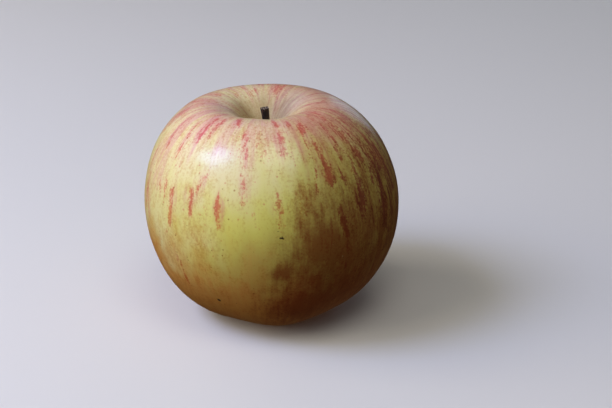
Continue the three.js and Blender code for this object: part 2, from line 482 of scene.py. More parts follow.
    def random(self, low: float, high: float, seed: int) -> Wire:
        """A random number for each point, always the same.

        Args:
            low: the least that it may be.
            high: the most that it may be.
            seed: fixes the draw.

        Returns:
            The number.
        """
        made = self.graph.node("FunctionNodeRandomValue", data_type="FLOAT")
        floats = [socket for socket in made.inputs if socket.enabled]
        for socket, value in zip(floats, (low, high)):
            self.graph.put(socket, value)
        self.graph.put(made.inputs["Seed"], seed)
        enabled = [socket for socket in made.outputs if socket.enabled]
        return Wire(self.graph, enabled[0])

    def grown(self, radius: Wire, azimuth: Wire, height: Wire) -> Wire:
        """Takes a point of the upright, perfectly round fruit to its place on the grown one.

        Args:
            radius: its distance from the axis.
            azimuth: its direction from the axis.
            height: its height.

        Returns:
            Its place.
        """
        up = height / self["height"]
        down = 1.0 - up
        lobed = radius.smooth(self["lobes_start_radius"], self["lobes_full_radius"])
        lobe = (self["lobes"] * (azimuth - self["lobe_azimuth"])).math("COSINE")
        lobe_height = self["lobe_swell_at_foot"] * down ** 2 + self["lobe_swell_at_crest"] * up ** 2
        swell = lobed * lobe * lobe_height
        belly = (up.math("MAXIMUM", 0.0).math("MINIMUM", 1.0) * math.pi).math("SINE")
        fuller = self["fuller_side"] * (azimuth - self["fuller_azimuth"]).math("COSINE")
        stretch = 1.0 + swell + fuller * belly * radius / self["equator_radius"]
        valley = self["foot_valley_rise"] * lobed * (1.0 - lobe) * 0.5 * down ** self["foot_rise_fade"]
        from_fold = (radius - self["cavity_fold_radius"]) / self["cavity_fold_reach"]
        near_fold = (from_fold * from_fold * -1.0).math("EXPONENT") * up.math("GREATER_THAN", 0.5)
        fold = self["cavity_fold_depth"] * (self["cavity_folds"] * azimuth).math("COSINE") * near_fold
        lean = self["lean_at_top"] * up ** 2 + self["lean_at_foot"] * down ** 2
        x = radius * azimuth.math("COSINE") * stretch + lean
        y = radius * azimuth.math("SINE") * stretch
        tilt = self["crest_tilt"] * x * up ** 2 * radius / self["equator_radius"]
        z = height + valley + fold + tilt - self["pad_press"]
        return self.graph.vector(x, y, z.math("MAXIMUM", 0.0))

    def grow_all(self, geometry: Wire) -> Wire:
        """Takes a whole shape that was drawn on the upright fruit to its grown place.

        Args:
            geometry: the shape.

        Returns:
            The shape in its grown place.
        """
        x, y, z = self.graph.split(self.position())
        radius = (x * x + y * y).math("SQRT")
        return self.place(geometry, self.grown(radius, y.math("ARCTAN2", x), z))

    def finish(self, geometry: Wire, material: bpy.types.Material) -> bpy.types.Object:
        """Ends the tree and turns its result into a plain mesh.

        Args:
            geometry: the piece's geometry.
            material: its finish.

        Returns:
            The piece, at the origin, with no modifier.
        """
        smooth = self.graph.node("GeometryNodeSetShadeSmooth", {"Geometry": geometry})
        painted = self.graph.node("GeometryNodeSetMaterial", {
            "Geometry": self.real(Wire(self.graph, smooth.outputs[0])), "Material": material,
        })
        self.graph.node("NodeGroupOutput", {"Geometry": painted.outputs[0]})
        piece = bpy.data.objects.new(self.name, bpy.data.meshes.new(self.name + "_draft"))
        bpy.context.scene.collection.objects.link(piece)
        modifier = piece.modifiers.new("Shape", "NODES")
        modifier.node_group = self.tree
        for identifier, value in self.values.items():
            modifier[identifier] = value
        bpy.context.view_layer.update()
        evaluated = piece.evaluated_get(bpy.context.evaluated_depsgraph_get())
        mesh = bpy.data.meshes.new_from_object(evaluated)
        piece.modifiers.remove(modifier)
        piece.data = mesh
        mesh.name = self.name
        return piece


@dataclass(frozen=True)
class Lens:
    """The camera that took the photograph, as solved from the apple's outline."""

    frame_width: int = 612
    frame_height: int = 408
    distance: float = 450 * MM
    elevation: float = math.radians(22.2)
    pixels_at_apple: float = 3143.0
    apple_pixel: tuple[float, float] = (272.0, 205.1)
    apple_middle: tuple[float, float, float] = (0.0, 0.56 * MM, 34.0 * MM)
    sensor_width: float = 36.0

    @property
    def focal_pixels(self) -> float:
        """The focal length in pixels of the photograph."""
        return self.pixels_at_apple * self.distance

    def matrix(self) -> Matrix:
        """The camera's place and turn, aimed so that the apple stands left of the frame's middle.

        Returns:
            The matrix of the camera's object.
        """
        middle = Vector(self.apple_middle)
        back = Vector((0, -math.cos(self.elevation), math.sin(self.elevation)))
        looking = back.to_track_quat("Z", "Y").to_matrix().to_4x4()
        aside = math.atan((self.frame_width / 2 - self.apple_pixel[0]) / self.focal_pixels)
        above = math.atan((self.apple_pixel[1] - self.frame_height / 2) / self.focal_pixels)
        aim = Euler((above, -aside, 0)).to_matrix().to_4x4()
        return Matrix.Translation(middle + back * self.distance) @ looking @ aim

    def camera(self) -> bpy.types.Object:
        """Makes the scene's camera.

        Returns:
            The camera.
        """
        data = bpy.data.cameras.new("camera")
        data.sensor_fit = "HORIZONTAL"
        data.sensor_width = self.sensor_width
        data.lens = self.focal_pixels / self.frame_width * self.sensor_width
        data.clip_start = 10 * MM
        camera = bpy.data.objects.new("camera", data)
        camera.matrix_world = self.matrix()
        bpy.context.scene.collection.objects.link(camera)
        bpy.context.scene.camera = camera
        return camera

    def ray(self, pixel: tuple[float, float]) -> tuple[Vector, Vector]:
        """The start and direction of the line of sight through a pixel of the photograph.

        Args:
            pixel: the pixel, from the frame's upper left corner.

        Returns:
            The start and the direction.
        """
        matrix = self.matrix()
        across = (pixel[0] - self.frame_width / 2) / self.focal_pixels
        up = (self.frame_height / 2 - pixel[1]) / self.focal_pixels
        return matrix.translation, (matrix.to_3x3() @ Vector((across, up, -1))).normalized()


class Layer(Enum):
    """What is painted on the skin: each is a number at every corner of its mesh."""

    RED = "red"
    HALO = "halo"
    BLUSH_AND_SHADE = "blush_and_shade"
    STREAKS = "streaks"
    FLECKS = "flecks"
    RIPENESS = "ripeness"
    RUST = "rust"
    CREAM = "cream"
    GREEN = "green"
    OLIVE_AND_SHADE = "olive"
    AMBER = "amber"
    CAVITY = "cavity"
    BLOOM = "grey_wall_shade"
    SPECKS = "specks"
    RUSSET_AND_SHADE = "russet_and_shade"
    SCAR = "scar"


def attribute(graph: Graph, name: str, output: str = "Fac") -> Wire:
    """The wire of a mesh's attribute in a shader tree."""
    made = graph.node("ShaderNodeAttribute", attribute_type="GEOMETRY", attribute_name=name)
    return Wire(graph, made.outputs[output])


def blend(graph: Graph, share: Number, first: object, second: object, kind: str = "MIX") -> Wire:
    """A blend of two colours, plain or multiplied.

    Args:
        graph: the shader tree.
        share: how much of the second colour is laid on.
        first: the colour underneath.
        second: the colour on top.
        kind: MIX, or MULTIPLY for a pigment.

    Returns:
        The colour.
    """
    made = graph.node("ShaderNodeMix", data_type="RGBA", blend_type=kind)
    graph.put(made.inputs[0], share)
    for socket, value in ((made.inputs[6], first), (made.inputs[7], second)):
        graph.put(socket, (*value, 1.0) if isinstance(value, tuple) else value)
    return Wire(graph, made.outputs[2])


def ripple(graph: Graph, place: Wire, pitch: Colour, detail: float = 2.0) -> Wire:
    """Cloudy noise of about -1 to 1, with so many features a millimetre along each axis.

    Args:
        graph: the shader tree.
        place: the place, in millimetres.
        pitch: the features a millimetre.
        detail: how much finer noise is added.

    Returns:
        The noise.
    """
    stretched = graph.vector_math("MULTIPLY", place, pitch)
    return (graph.noise(stretched, 1.0, detail, 0.55) - 0.5) * 3.4


def millimetres(graph: Graph) -> Wire:
    """The place on the piece itself, in millimetres."""
    place = graph.node("ShaderNodeTexCoord").outputs["Object"]
    return graph.vector_math("MULTIPLY", place, (1 / MM, 1 / MM, 1 / MM))


def dots(graph: Graph, place: Wire, pitch: float, size: float, share: Number) -> Wire:
    """Scattered round dots, 1 in their middles.

    Args:
        graph: the shader tree.
        place: the place, in millimetres.
        pitch: how many cells there are to a millimetre.
        size: the largest dot's radius, in millimetres.
        share: how many of the cells hold a dot.

    Returns:
        The dots.
    """
    cells = graph.node("ShaderNodeTexVoronoi", {"Vector": place, "Scale": pitch, "Randomness": 1.0})
    draw = graph.node("ShaderNodeSeparateColor", {"Color": cells.outputs["Color"]})
    there = (share - Wire(graph, draw.outputs[0])).smooth(0.0, 0.08)
    reach = (Wire(graph, draw.outputs[1]) * 0.6 + 0.4) * (size * pitch)
    near = Wire(graph, cells.outputs["Distance"]) / reach
    return (1.0 - near.smooth(0.45, 1.0)) * there


def new_material(name: str) -> tuple[bpy.types.Material, Graph]:
    """A material with an empty node tree.

    Args:
        name: the material's name.

    Returns:
        The material and its graph.
    """
    made = bpy.data.materials.new(name)
    made.use_nodes = True
    made.node_tree.nodes.clear()
    return made, Graph(made.node_tree)


class Peel:
    """What the skin's shader reads: the painted layers, and noises from broad clouds to fine grain."""

    def __init__(self, graph: Graph) -> None:
        """Adds the nodes. The noises run along the meridians, but the grain is even.

        Args:
            graph: the skin's shader tree.
        """
        flow = attribute(graph, "flow", "Vector")
        self.graph = graph
        self.place = millimetres(graph)
        self.layers = {kind: attribute(graph, kind.value) for kind in Layer}
        self.clouds = ripple(graph, flow, (0.1, 0.1, 0.055))
        self.bands = ripple(graph, flow, (0.2, 0.2, 0.035))
        self.mottle = ripple(graph, flow, (0.3, 0.3, 0.2), 3.0)
        self.streaks = ripple(graph, flow, (0.45, 0.45, 0.05), 3.0)
        self.threads = ripple(graph, flow, (1.0, 1.0, 0.13))
        self.dashes = ripple(graph, flow, (1.2, 1.2, 0.4))
        self.grain = ripple(graph, self.place, (1.5, 1.5, 1.5))

    def __getitem__(self, kind: Layer) -> Wire:
        """The wire of a painted layer."""
        return self.layers[kind]


@dataclass(frozen=True)
class SkinFinish:
    """The skin's colours and gloss.

    The colours from yellow to the cavity wall's grey, and pore and scar, are shown as they are. The others
    are
    pigments: what they leave of the red, green and blue under them. Some also paint light and shade: the
    cavity colour and the wall's grey are painted shade in the stem cavity, the olive is also painted shade on
    the lower front, the blush colour is also painted shade on the lower right and towards the foot, the
    russet colour is also painted shade on the cavity's walls, and the mauve cast of the pink wash is partly a
    painted sheen on the crest and shoulders. Pitches are in cells a millimetre, and the sizes of dots are in
    millimetres.
    """

    yellow: Colour = (0.78, 0.69, 0.29)
    cream: Colour = (0.81, 0.69, 0.37)
    green: Colour = (0.76, 0.71, 0.14)
    # Olive ground, which on the lower front is also painted shade
    olive: Colour = (0.60, 0.50, 0.11)
    amber: Colour = (0.68, 0.34, 0.08)
    # The cavity's own olive tan, laid darker deep in the cavity and on its right wall as painted shade
    cavity: Colour = (0.55, 0.42, 0.20)
    # Painted shade: a grey that dulls and darkens the cavity's right wall
    grey_wall_shade: Colour = (0.46, 0.41, 0.41)
    # Pink, whose mauve cast is partly a painted sheen on the crest and shoulders
    wash_and_sheen: Colour = (0.92, 0.54, 0.88)
    ripe_wash: Colour = (0.86, 0.56, 0.48)
    # A dull blush, which also paints shade on the lower right and towards the foot
    blush_and_shade: Colour = (0.50, 0.255, 0.255)
    dust: Colour = (0.85, 0.71, 0.57)
    coral: Colour = (0.91, 0.37, 0.42)
    crimson: Colour = (0.52, 0.17, 0.30)
    rust: Colour = (0.88, 0.50, 0.44)
    # Russet near the stem; further up the cavity's walls the same colour is painted shade
    russet_and_shade: Colour = (0.64, 0.57, 0.55)
    speck: Colour = (0.58, 0.38, 0.22)
    pore: Colour = colour(226, 212, 160)
    scar: Colour = colour(66, 50, 28)
    stipple_pitch: float = 0.8
    stipple_size: float = 0.42
    speck_pitch: float = 0.55
    speck_size: float = 0.42
    speck_depth: float = 0.8
    pore_pitch: float = 0.3
    pore_size: float = 0.3
    pore_share: float = 0.6
    pore_depth: float = 0.45
    roughness: float = 0.4
    coat: float = 0.45
    coat_roughness: float = 0.2
    translucency: float = 0.08
    flesh_reach: Colour = (1.0, 0.5, 0.2)
    flesh_depth: float = 1.4 * MM
    bump: float = 0.25
    relief: float = 0.12 * MM

    def material(self) -> bpy.types.Material:
        """Builds the skin's material, which reads the layers painted on the skin's mesh.

        Returns:
            The material.
        """
        made, graph = new_material("skin")
        peel = Peel(graph)
        net = (peel[Layer.RUSSET_AND_SHADE] + peel.mottle * 0.2).smooth(0.1, 0.9)
        specks = dots(graph, peel.place, self.speck_pitch, self.speck_size, peel[Layer.SPECKS])
        pores = dots(graph, peel.place, self.pore_pitch, self.pore_size, self.pore_share)
        base = self.striped(peel, self.flushed(peel, self.ground(peel)))
        # Russet near the stem, and painted shade on the cavity's walls.
        base = blend(graph, net, base, self.russet_and_shade, "MULTIPLY")
        base = blend(graph, specks * self.speck_depth, base, self.speck, "MULTIPLY")
        base = blend(graph, pores * self.pore_depth, base, self.pore)
        base = blend(graph, (peel[Layer.SCAR] + peel.grain * 0.2).smooth(0.25, 0.55), base, self.scar)
        height = peel.mottle * 0.12 + peel.grain * 0.05 + net * 0.4 - specks * 0.4 + pores * 0.25
        bump = graph.node("ShaderNodeBump", {
            "Strength": self.bump, "Distance": self.relief, "Height": height,
        })
        hollow = peel[Layer.CAVITY].smooth(0.0, 1.0)
        shader = graph.node("ShaderNodeBsdfPrincipled", {
            "Base Color": base,
            "Roughness": peel.mottle * 0.03 + net * 0.15 + hollow * 0.15 + self.roughness,
            "Coat Weight": (1.0 - hollow) * self.coat,
            "Coat Roughness": self.coat_roughness,
            "Subsurface Weight": self.translucency,
            "Subsurface Radius": self.flesh_reach,
            "Subsurface Scale": self.flesh_depth,
            "Normal": bump.outputs[0],
        })
        graph.node("ShaderNodeOutputMaterial", {"Surface": shader.outputs[0]})
        return made

    def ground(self, peel: Peel) -> Wire:
        """The ground: yellow, cream on the shoulder, green and olive on the flank, amber at the foot, olive
        tan in the cavity. The olive is also painted shade on the lower front, and the cavity's tone painted
        shade in the cavity.

        Args:
            peel: the skin's layers and noises.

        Returns:
            The colour.
        """
        amber = peel[Layer.AMBER] + peel.clouds * 0.2 + peel.mottle * 0.15 + peel.threads * 0.1
        tones = (
            ((peel[Layer.CREAM] + peel.bands * 0.2).smooth(0.0, 1.0), self.cream),
            ((peel[Layer.GREEN] + peel.clouds * 0.3 + peel.mottle * 0.1).smooth(0.0, 1.0), self.green),
            # olive, which on the lower front is painted shade
            ((peel[Layer.OLIVE_AND_SHADE] + peel.clouds * 0.2 + peel.bands * 0.2).smooth(0.0, 1.0), self.olive),
            (amber.smooth(0.05, 1.0), self.amber),
            # the cavity's tone, which is also painted shade deep in the cavity and on its right wall
            ((peel[Layer.CAVITY] + peel.mottle * 0.1).smooth(0.1, 1.0), self.cavity),
        )
        base = self.yellow
        for share, tone in tones:
            base = blend(peel.graph, share, base, tone)
        return base

    def flushed(self, peel: Peel, base: Wire) -> Wire:
        """Lays over the ground a warm dust, a pink wash whose mauve cast is partly a painted sheen, a dull
        blush that is also painted shade on the lower right and towards the foot, and a grey painted shade on
        the cavity's right wall.

        Args:
            peel: the skin's layers and noises.
            base: the ground.

        Returns:
            The colour.
        """
        graph = peel.graph
        dust = peel[Layer.SPECKS] + peel.grain * 0.4 + peel.dashes * 0.3 + peel.mottle * 0.4
        base = blend(graph, dust.smooth(0.15, 1.0), base, self.dust, "MULTIPLY")
        halo = peel[Layer.HALO]
        # Pink wash, whose mauve cast is partly a painted sheen on the crest and shoulders.
        wash_and_sheen = halo + peel.bands * 0.44 + peel.streaks * 0.26 + peel.threads * 0.18 + peel.grain * 0.12
        wash_and_sheen = wash_and_sheen * halo.smooth(0.0, 0.25)
        tint = blend(graph, peel[Layer.RIPENESS], self.wash_and_sheen, self.ripe_wash)
        base = blend(graph, wash_and_sheen.smooth(0.1, 0.95), base, tint, "MULTIPLY")
        # Blush and painted shade, darker on the lower right and towards the foot.
        flush_and_shade = peel[Layer.BLUSH_AND_SHADE]
        uneven = peel.streaks * 0.22 + peel.mottle * 0.26 + peel.threads * 0.18 + peel.grain * 0.14
        blush_and_shade = (flush_and_shade + uneven * flush_and_shade.smooth(0.0, 0.4)).smooth(0.02, 1.15)
        base = blend(graph, blush_and_shade, base, self.blush_and_shade, "MULTIPLY")
        # Painted shade: a grey laid over the cavity's right wall.
        return blend(graph, peel[Layer.BLOOM], base, self.grey_wall_shade)

    def striped(self, peel: Peel, base: Wire) -> Wire:
        """Lays the red over a colour: clear stripes, fans of thin streaks, flecks and a stipple of dots.

        Args:
            peel: the skin's layers and noises.
            base: the colour under them.

        Returns:
            The colour.
        """
        graph = peel.graph
        red = peel[Layer.RED]
        rough = peel.dashes * 0.42 + peel.grain * 0.40 + peel.threads * 0.16
        stripes = (red + rough * red.smooth(0.0, 0.4)).smooth(0.25, 0.9)
        fan = peel[Layer.STREAKS] + peel.streaks * 0.40 + peel.threads * 0.32
        fan = (fan + peel.dashes * 0.18 + peel.grain * 0.12).smooth(0.44, 0.82)
        flecks = (peel[Layer.FLECKS] + peel.dashes * 0.28 + peel.grain * 0.34).smooth(0.48, 0.84)
        crowding = peel[Layer.FLECKS] * 1.3 + peel.streaks * 0.3 + peel.mottle * 0.3
        stipple = dots(graph, peel.place, self.stipple_pitch, self.stipple_size, crowding)
        cover = stripes
        for marks, depth in ((fan, 0.92), (flecks, 0.6), (stipple, 0.7)):
            cover = cover.math("MAXIMUM", marks * depth)
        cover = cover * (0.92 - peel[Layer.CAVITY].smooth(0.0, 1.0) * 0.45)
        ripe = (peel[Layer.RIPENESS] + peel.mottle * 0.15).smooth(0.0, 1.0)
        rusty = (peel[Layer.RUST] + peel.mottle * 0.2).smooth(0.0, 1.0)
        pigment = blend(graph, rusty, blend(graph, ripe, self.coral, self.crimson), self.rust)
        return blend(graph, cover, base, pigment, "MULTIPLY")


@dataclass(frozen=True)
class WoodFinish:
    """Dry, fibrous plant matter: the stem's bark and the calyx's withered leaves."""

    name: str
    dark: Colour
    light: Colour
    pale: Colour
    fibre_pitch: Colour
    roughness: float = 0.82
    relief: float = 0.1 * MM

    def material(self) -> bpy.types.Material:
        """Builds the material: fibres in two tones, with paler tips where the mesh says so.

        Returns:
            The material.
        """
        made, graph = new_material(self.name)
        place = millimetres(graph)
        fibres = ripple(graph, place, self.fibre_pitch, 4.0)
        blotches = ripple(graph, place, (0.9, 0.9, 0.6), 3.0)
        base = blend(graph, (fibres * 0.4 + blotches * 0.35 + 0.35).smooth(0.0, 1.0), self.dark, self.light)
        tips = attribute(graph, "pale")
        base = blend(graph, (tips + fibres * 0.2 * tips).smooth(0.1, 0.9), base, self.pale)
        bump = graph.node("ShaderNodeBump", {
            "Strength": 0.7, "Distance": self.relief, "Height": fibres * 0.4 + blotches * 0.2,
        })
        shader = graph.node("ShaderNodeBsdfPrincipled", {
            "Base Color": base,
            "Roughness": self.roughness,
            "Normal": bump.outputs[0],
        })
        graph.node("ShaderNodeOutputMaterial", {"Surface": shader.outputs[0]})
        return made


@dataclass(frozen=True)
class Stripe:
    """A stripe of red on the skin. Its ends are pixels of the photograph, in its 612 by 408 frame."""

    top: tuple[float, float]
    foot: tuple[float, float]
    width: float
    depth: float = 1.0


@dataclass(frozen=True)
class Patch:
    """A round cloud of colour on the skin. Its middle is a pixel of the photograph."""

    middle: tuple[float, float]
    radius: float
    depth: float


@dataclass(frozen=True)
class Run:
    """A stripe on the skin itself: azimuths in radians, and lengths along the meridian from the stem."""

    top_azimuth: float
    top_arc: float
    foot_azimuth: float
    foot_arc: float
    width: float
    depth: float


@dataclass(frozen=True)
class Field:
    """Random stripes over a stretch of the skin: azimuths in degrees, and the rest in millimetres."""

    azimuths: tuple[float, float]
    arcs: tuple[float, float]
    count: int
    lengths: tuple[float, float]
    widths: tuple[float, float]
    depths: tuple[float, float]

    def runs(self, draw: random.Random) -> list[Run]:
        """Draws the field's stripes.

        Args:
            draw: the source of the random numbers.

        Returns:
            The stripes.
        """
        made = []
        for _ in range(self.count):
            azimuth = math.radians(draw.uniform(*self.azimuths))
            arc = draw.uniform(*self.arcs) * MM
            length = draw.uniform(*self.lengths) * MM
            width = draw.uniform(*self.widths) * MM
            drift = draw.gauss(0, 0.02)
            depth = draw.uniform(*self.depths)
            made.append(Run(azimuth, arc, azimuth + drift, arc + length, width, depth))
        return made


STRIPES: tuple[Stripe, ...] = (
    # The flank's clear stripes, from the left to the right
    Stripe(top=(148.9, 185), foot=(149.8, 218), width=1.4 * MM, depth=0.7),
    Stripe(top=(160.9, 178), foot=(159.7, 193), width=1.2 * MM, depth=0.75),
    Stripe(top=(166.9, 178), foot=(164.2, 200), width=1.4 * MM, depth=0.75),
    Stripe(top=(173.2, 186), foot=(169.9, 229), width=1.7 * MM, depth=0.9),
    Stripe(top=(166.0, 228), foot=(168.7, 238), width=1.1 * MM, depth=0.65),
    Stripe(top=(207.3, 172), foot=(194.0, 195), width=2.9 * MM, depth=0.7),
    Stripe(top=(192.1, 186), foot=(190.3, 218), width=2.2 * MM, depth=0.95),
    Stripe(top=(218.1, 193), foot=(218.5, 232), width=1.8 * MM, depth=1.0),
    Stripe(top=(177.1, 253), foot=(184.0, 271), width=0.8 * MM, depth=0.85),
    Stripe(top=(183.5, 270), foot=(191.2, 286), width=1.2 * MM, depth=1.0),
    Stripe(top=(253.2, 210), foot=(254.1, 220), width=1.2 * MM, depth=0.65),
    Stripe(top=(258.0, 226), foot=(258.4, 230.5), width=2.4 * MM, depth=0.75),
    Stripe(top=(277.5, 192), foot=(280.2, 232), width=3.0 * MM, depth=0.62),
    # The left shoulder's long thin lines
    Stripe(top=(219.9, 117.7), foot=(194.7, 146.4), width=1.3 * MM, depth=0.95),
    Stripe(top=(227.1, 118.6), foot=(207.3, 139.2), width=1.9 * MM, depth=0.75),
    Stripe(top=(192.0, 131.2), foot=(175.0, 159.0), width=1.3 * MM, depth=0.8),
    Stripe(top=(184.0, 122.0), foot=(164.2, 155.0), width=1.0 * MM, depth=0.65),
    Stripe(top=(241.5, 118.6), foot=(237.9, 128.0), width=2.0 * MM, depth=0.85),
    # The front's broken bands under the lip
    Stripe(top=(246.9, 131), foot=(245.1, 171), width=4.4 * MM, depth=0.56),
    Stripe(top=(244.2, 171), foot=(243.3, 209), width=3.2 * MM, depth=0.52),
    Stripe(top=(272.0, 120.4), foot=(279.3, 130), width=1.8 * MM, depth=0.8),
    Stripe(top=(279.3, 129.4), foot=(284.7, 160), width=3.0 * MM, depth=0.72),
    Stripe(top=(285.6, 120.4), foot=(289.2, 128), width=1.9 * MM, depth=0.8),
    Stripe(top=(259.5, 137), foot=(255.9, 148), width=1.7 * MM, depth=0.75),
    Stripe(top=(264.9, 149), foot=(263.1, 160), width=1.9 * MM, depth=0.65),
    Stripe(top=(293.7, 152), foot=(292.8, 159), width=1.4 * MM, depth=0.55),
    # The right shoulder's wide stripes, which fan out from the lip
    Stripe(top=(298.2, 121), foot=(303.6, 137), width=3.1 * MM, depth=0.85),
    Stripe(top=(303.6, 136), foot=(311.7, 164), width=2.4 * MM, depth=0.52),
    Stripe(top=(311.7, 139), foot=(321.6, 156), width=3.1 * MM, depth=0.72),
    Stripe(top=(320.6, 153), foot=(334.1, 190), width=3.6 * MM, depth=1.0),
    Stripe(top=(313.5, 113), foot=(338.6, 131), width=2.9 * MM, depth=0.62),
    Stripe(top=(336.0, 129), foot=(351.2, 146), width=3.2 * MM, depth=0.85),
    Stripe(top=(350.0, 144), foot=(363.8, 163), width=3.4 * MM, depth=0.95),
    Stripe(top=(350.0, 157), foot=(357.0, 180), width=2.6 * MM, depth=0.8),
    Stripe(top=(367.0, 160), foot=(374.0, 188), width=2.8 * MM, depth=0.8),
    Stripe(top=(315.3, 167), foot=(317.1, 196), width=1.3 * MM, depth=0.8),
    Stripe(top=(336.8, 165), foot=(348.5, 189), width=1.7 * MM, depth=0.75),
    Stripe(top=(363.8, 142), foot=(381.8, 172), width=3.1 * MM, depth=0.8),
    # The right flank's dark stripes
    Stripe(top=(357.5, 178), foot=(363.8, 220), width=3.4 * MM, depth=1.0),
    Stripe(top=(338.6, 205), foot=(347.6, 240), width=2.9 * MM, depth=1.0),
    Stripe(top=(347.6, 239), foot=(348.5, 255), width=1.9 * MM, depth=0.6),
    Stripe(top=(376.4, 171), foot=(383.6, 229), width=3.8 * MM, depth=0.95),
    # The cavity's far wall and the crests beside it
    Stripe(top=(256.8, 95), foot=(254.1, 86), width=1.9 * MM, depth=0.45),
    Stripe(top=(274.8, 97), foot=(279.3, 85), width=3.4 * MM, depth=0.8),
    Stripe(top=(239.7, 99), foot=(234.3, 90), width=2.4 * MM, depth=0.5),
    Stripe(top=(306.3, 109), foot=(327.8, 99), width=2.4 * MM, depth=0.6),
)

PATCHES: tuple[Patch, ...] = (
    Patch(middle=(329.6, 246), radius=4.6 * MM, depth=0.75),
    Patch(middle=(280.0, 274), radius=2.7 * MM, depth=0.95),
    Patch(middle=(299.0, 306), radius=7.0 * MM, depth=0.4),
    Patch(middle=(272.0, 309), radius=9.0 * MM, depth=0.2),
    Patch(middle=(330.0, 290), radius=14.0 * MM, depth=0.42),
    Patch(middle=(352.0, 225), radius=15.0 * MM, depth=0.25),
    Patch(middle=(306.0, 236), radius=8.0 * MM, depth=0.42),
    Patch(middle=(303.0, 266), radius=7.5 * MM, depth=0.3),
    Patch(middle=(305.0, 203), radius=6.0 * MM, depth=0.32),
)

SPECKLES: tuple[Patch, ...] = (
    Patch(middle=(199.0, 238), radius=4.5 * MM, depth=1.0),
    Patch(middle=(196.0, 196), radius=3.5 * MM, depth=0.6),
    Patch(middle=(172.0, 245), radius=5.0 * MM, depth=0.5),
    Patch(middle=(305.0, 200), radius=5.0 * MM, depth=0.7),
    Patch(middle=(262.0, 138), radius=4.0 * MM, depth=0.6),
)

SCARS: tuple[Patch, ...] = (
    Patch(middle=(281.6, 238), radius=0.55 * MM, depth=0.9),
    Patch(middle=(278.6, 232), radius=0.4 * MM, depth=0.8),
    Patch(middle=(219.0, 300), radius=0.6 * MM, depth=1.0),
)

FIELDS: tuple[Field, ...] = (
    # The right shoulder and flank, where the sun reached
    Field(azimuths=(-50, -2), arcs=(16, 40), count=40,
          lengths=(5, 13), widths=(0.7, 1.7), depths=(0.45, 0.8)),
    Field(azimuths=(-36, 60), arcs=(34, 70), count=74,
          lengths=(6, 18), widths=(0.9, 2.4), depths=(0.45, 0.95)),
    Field(azimuths=(-35, 70), arcs=(64, 92), count=36,
          lengths=(5, 14), widths=(1.0, 2.6), depths=(0.35, 0.75)),
    # The back and the left, more sparsely
    Field(azimuths=(60, 195), arcs=(20, 48), count=60,
          lengths=(5, 14), widths=(0.7, 1.7), depths=(0.4, 0.9)),
    Field(azimuths=(60, 200), arcs=(44, 80), count=34,
          lengths=(5, 14), widths=(0.8, 1.8), depths=(0.4, 0.95)),
    # The cavity's walls, all round
    Field(azimuths=(-180, 180), arcs=(9, 20), count=26,
          lengths=(4, 11), widths=(1.4, 3.2), depths=(0.25, 0.5)),
)


def ramp(values: np.ndarray, start: float, end: float) -> np.ndarray:
    """0 up to a start, 1 from an end on, and a straight rise between them."""
    return np.clip((values - start) / (end - start), 0, 1)


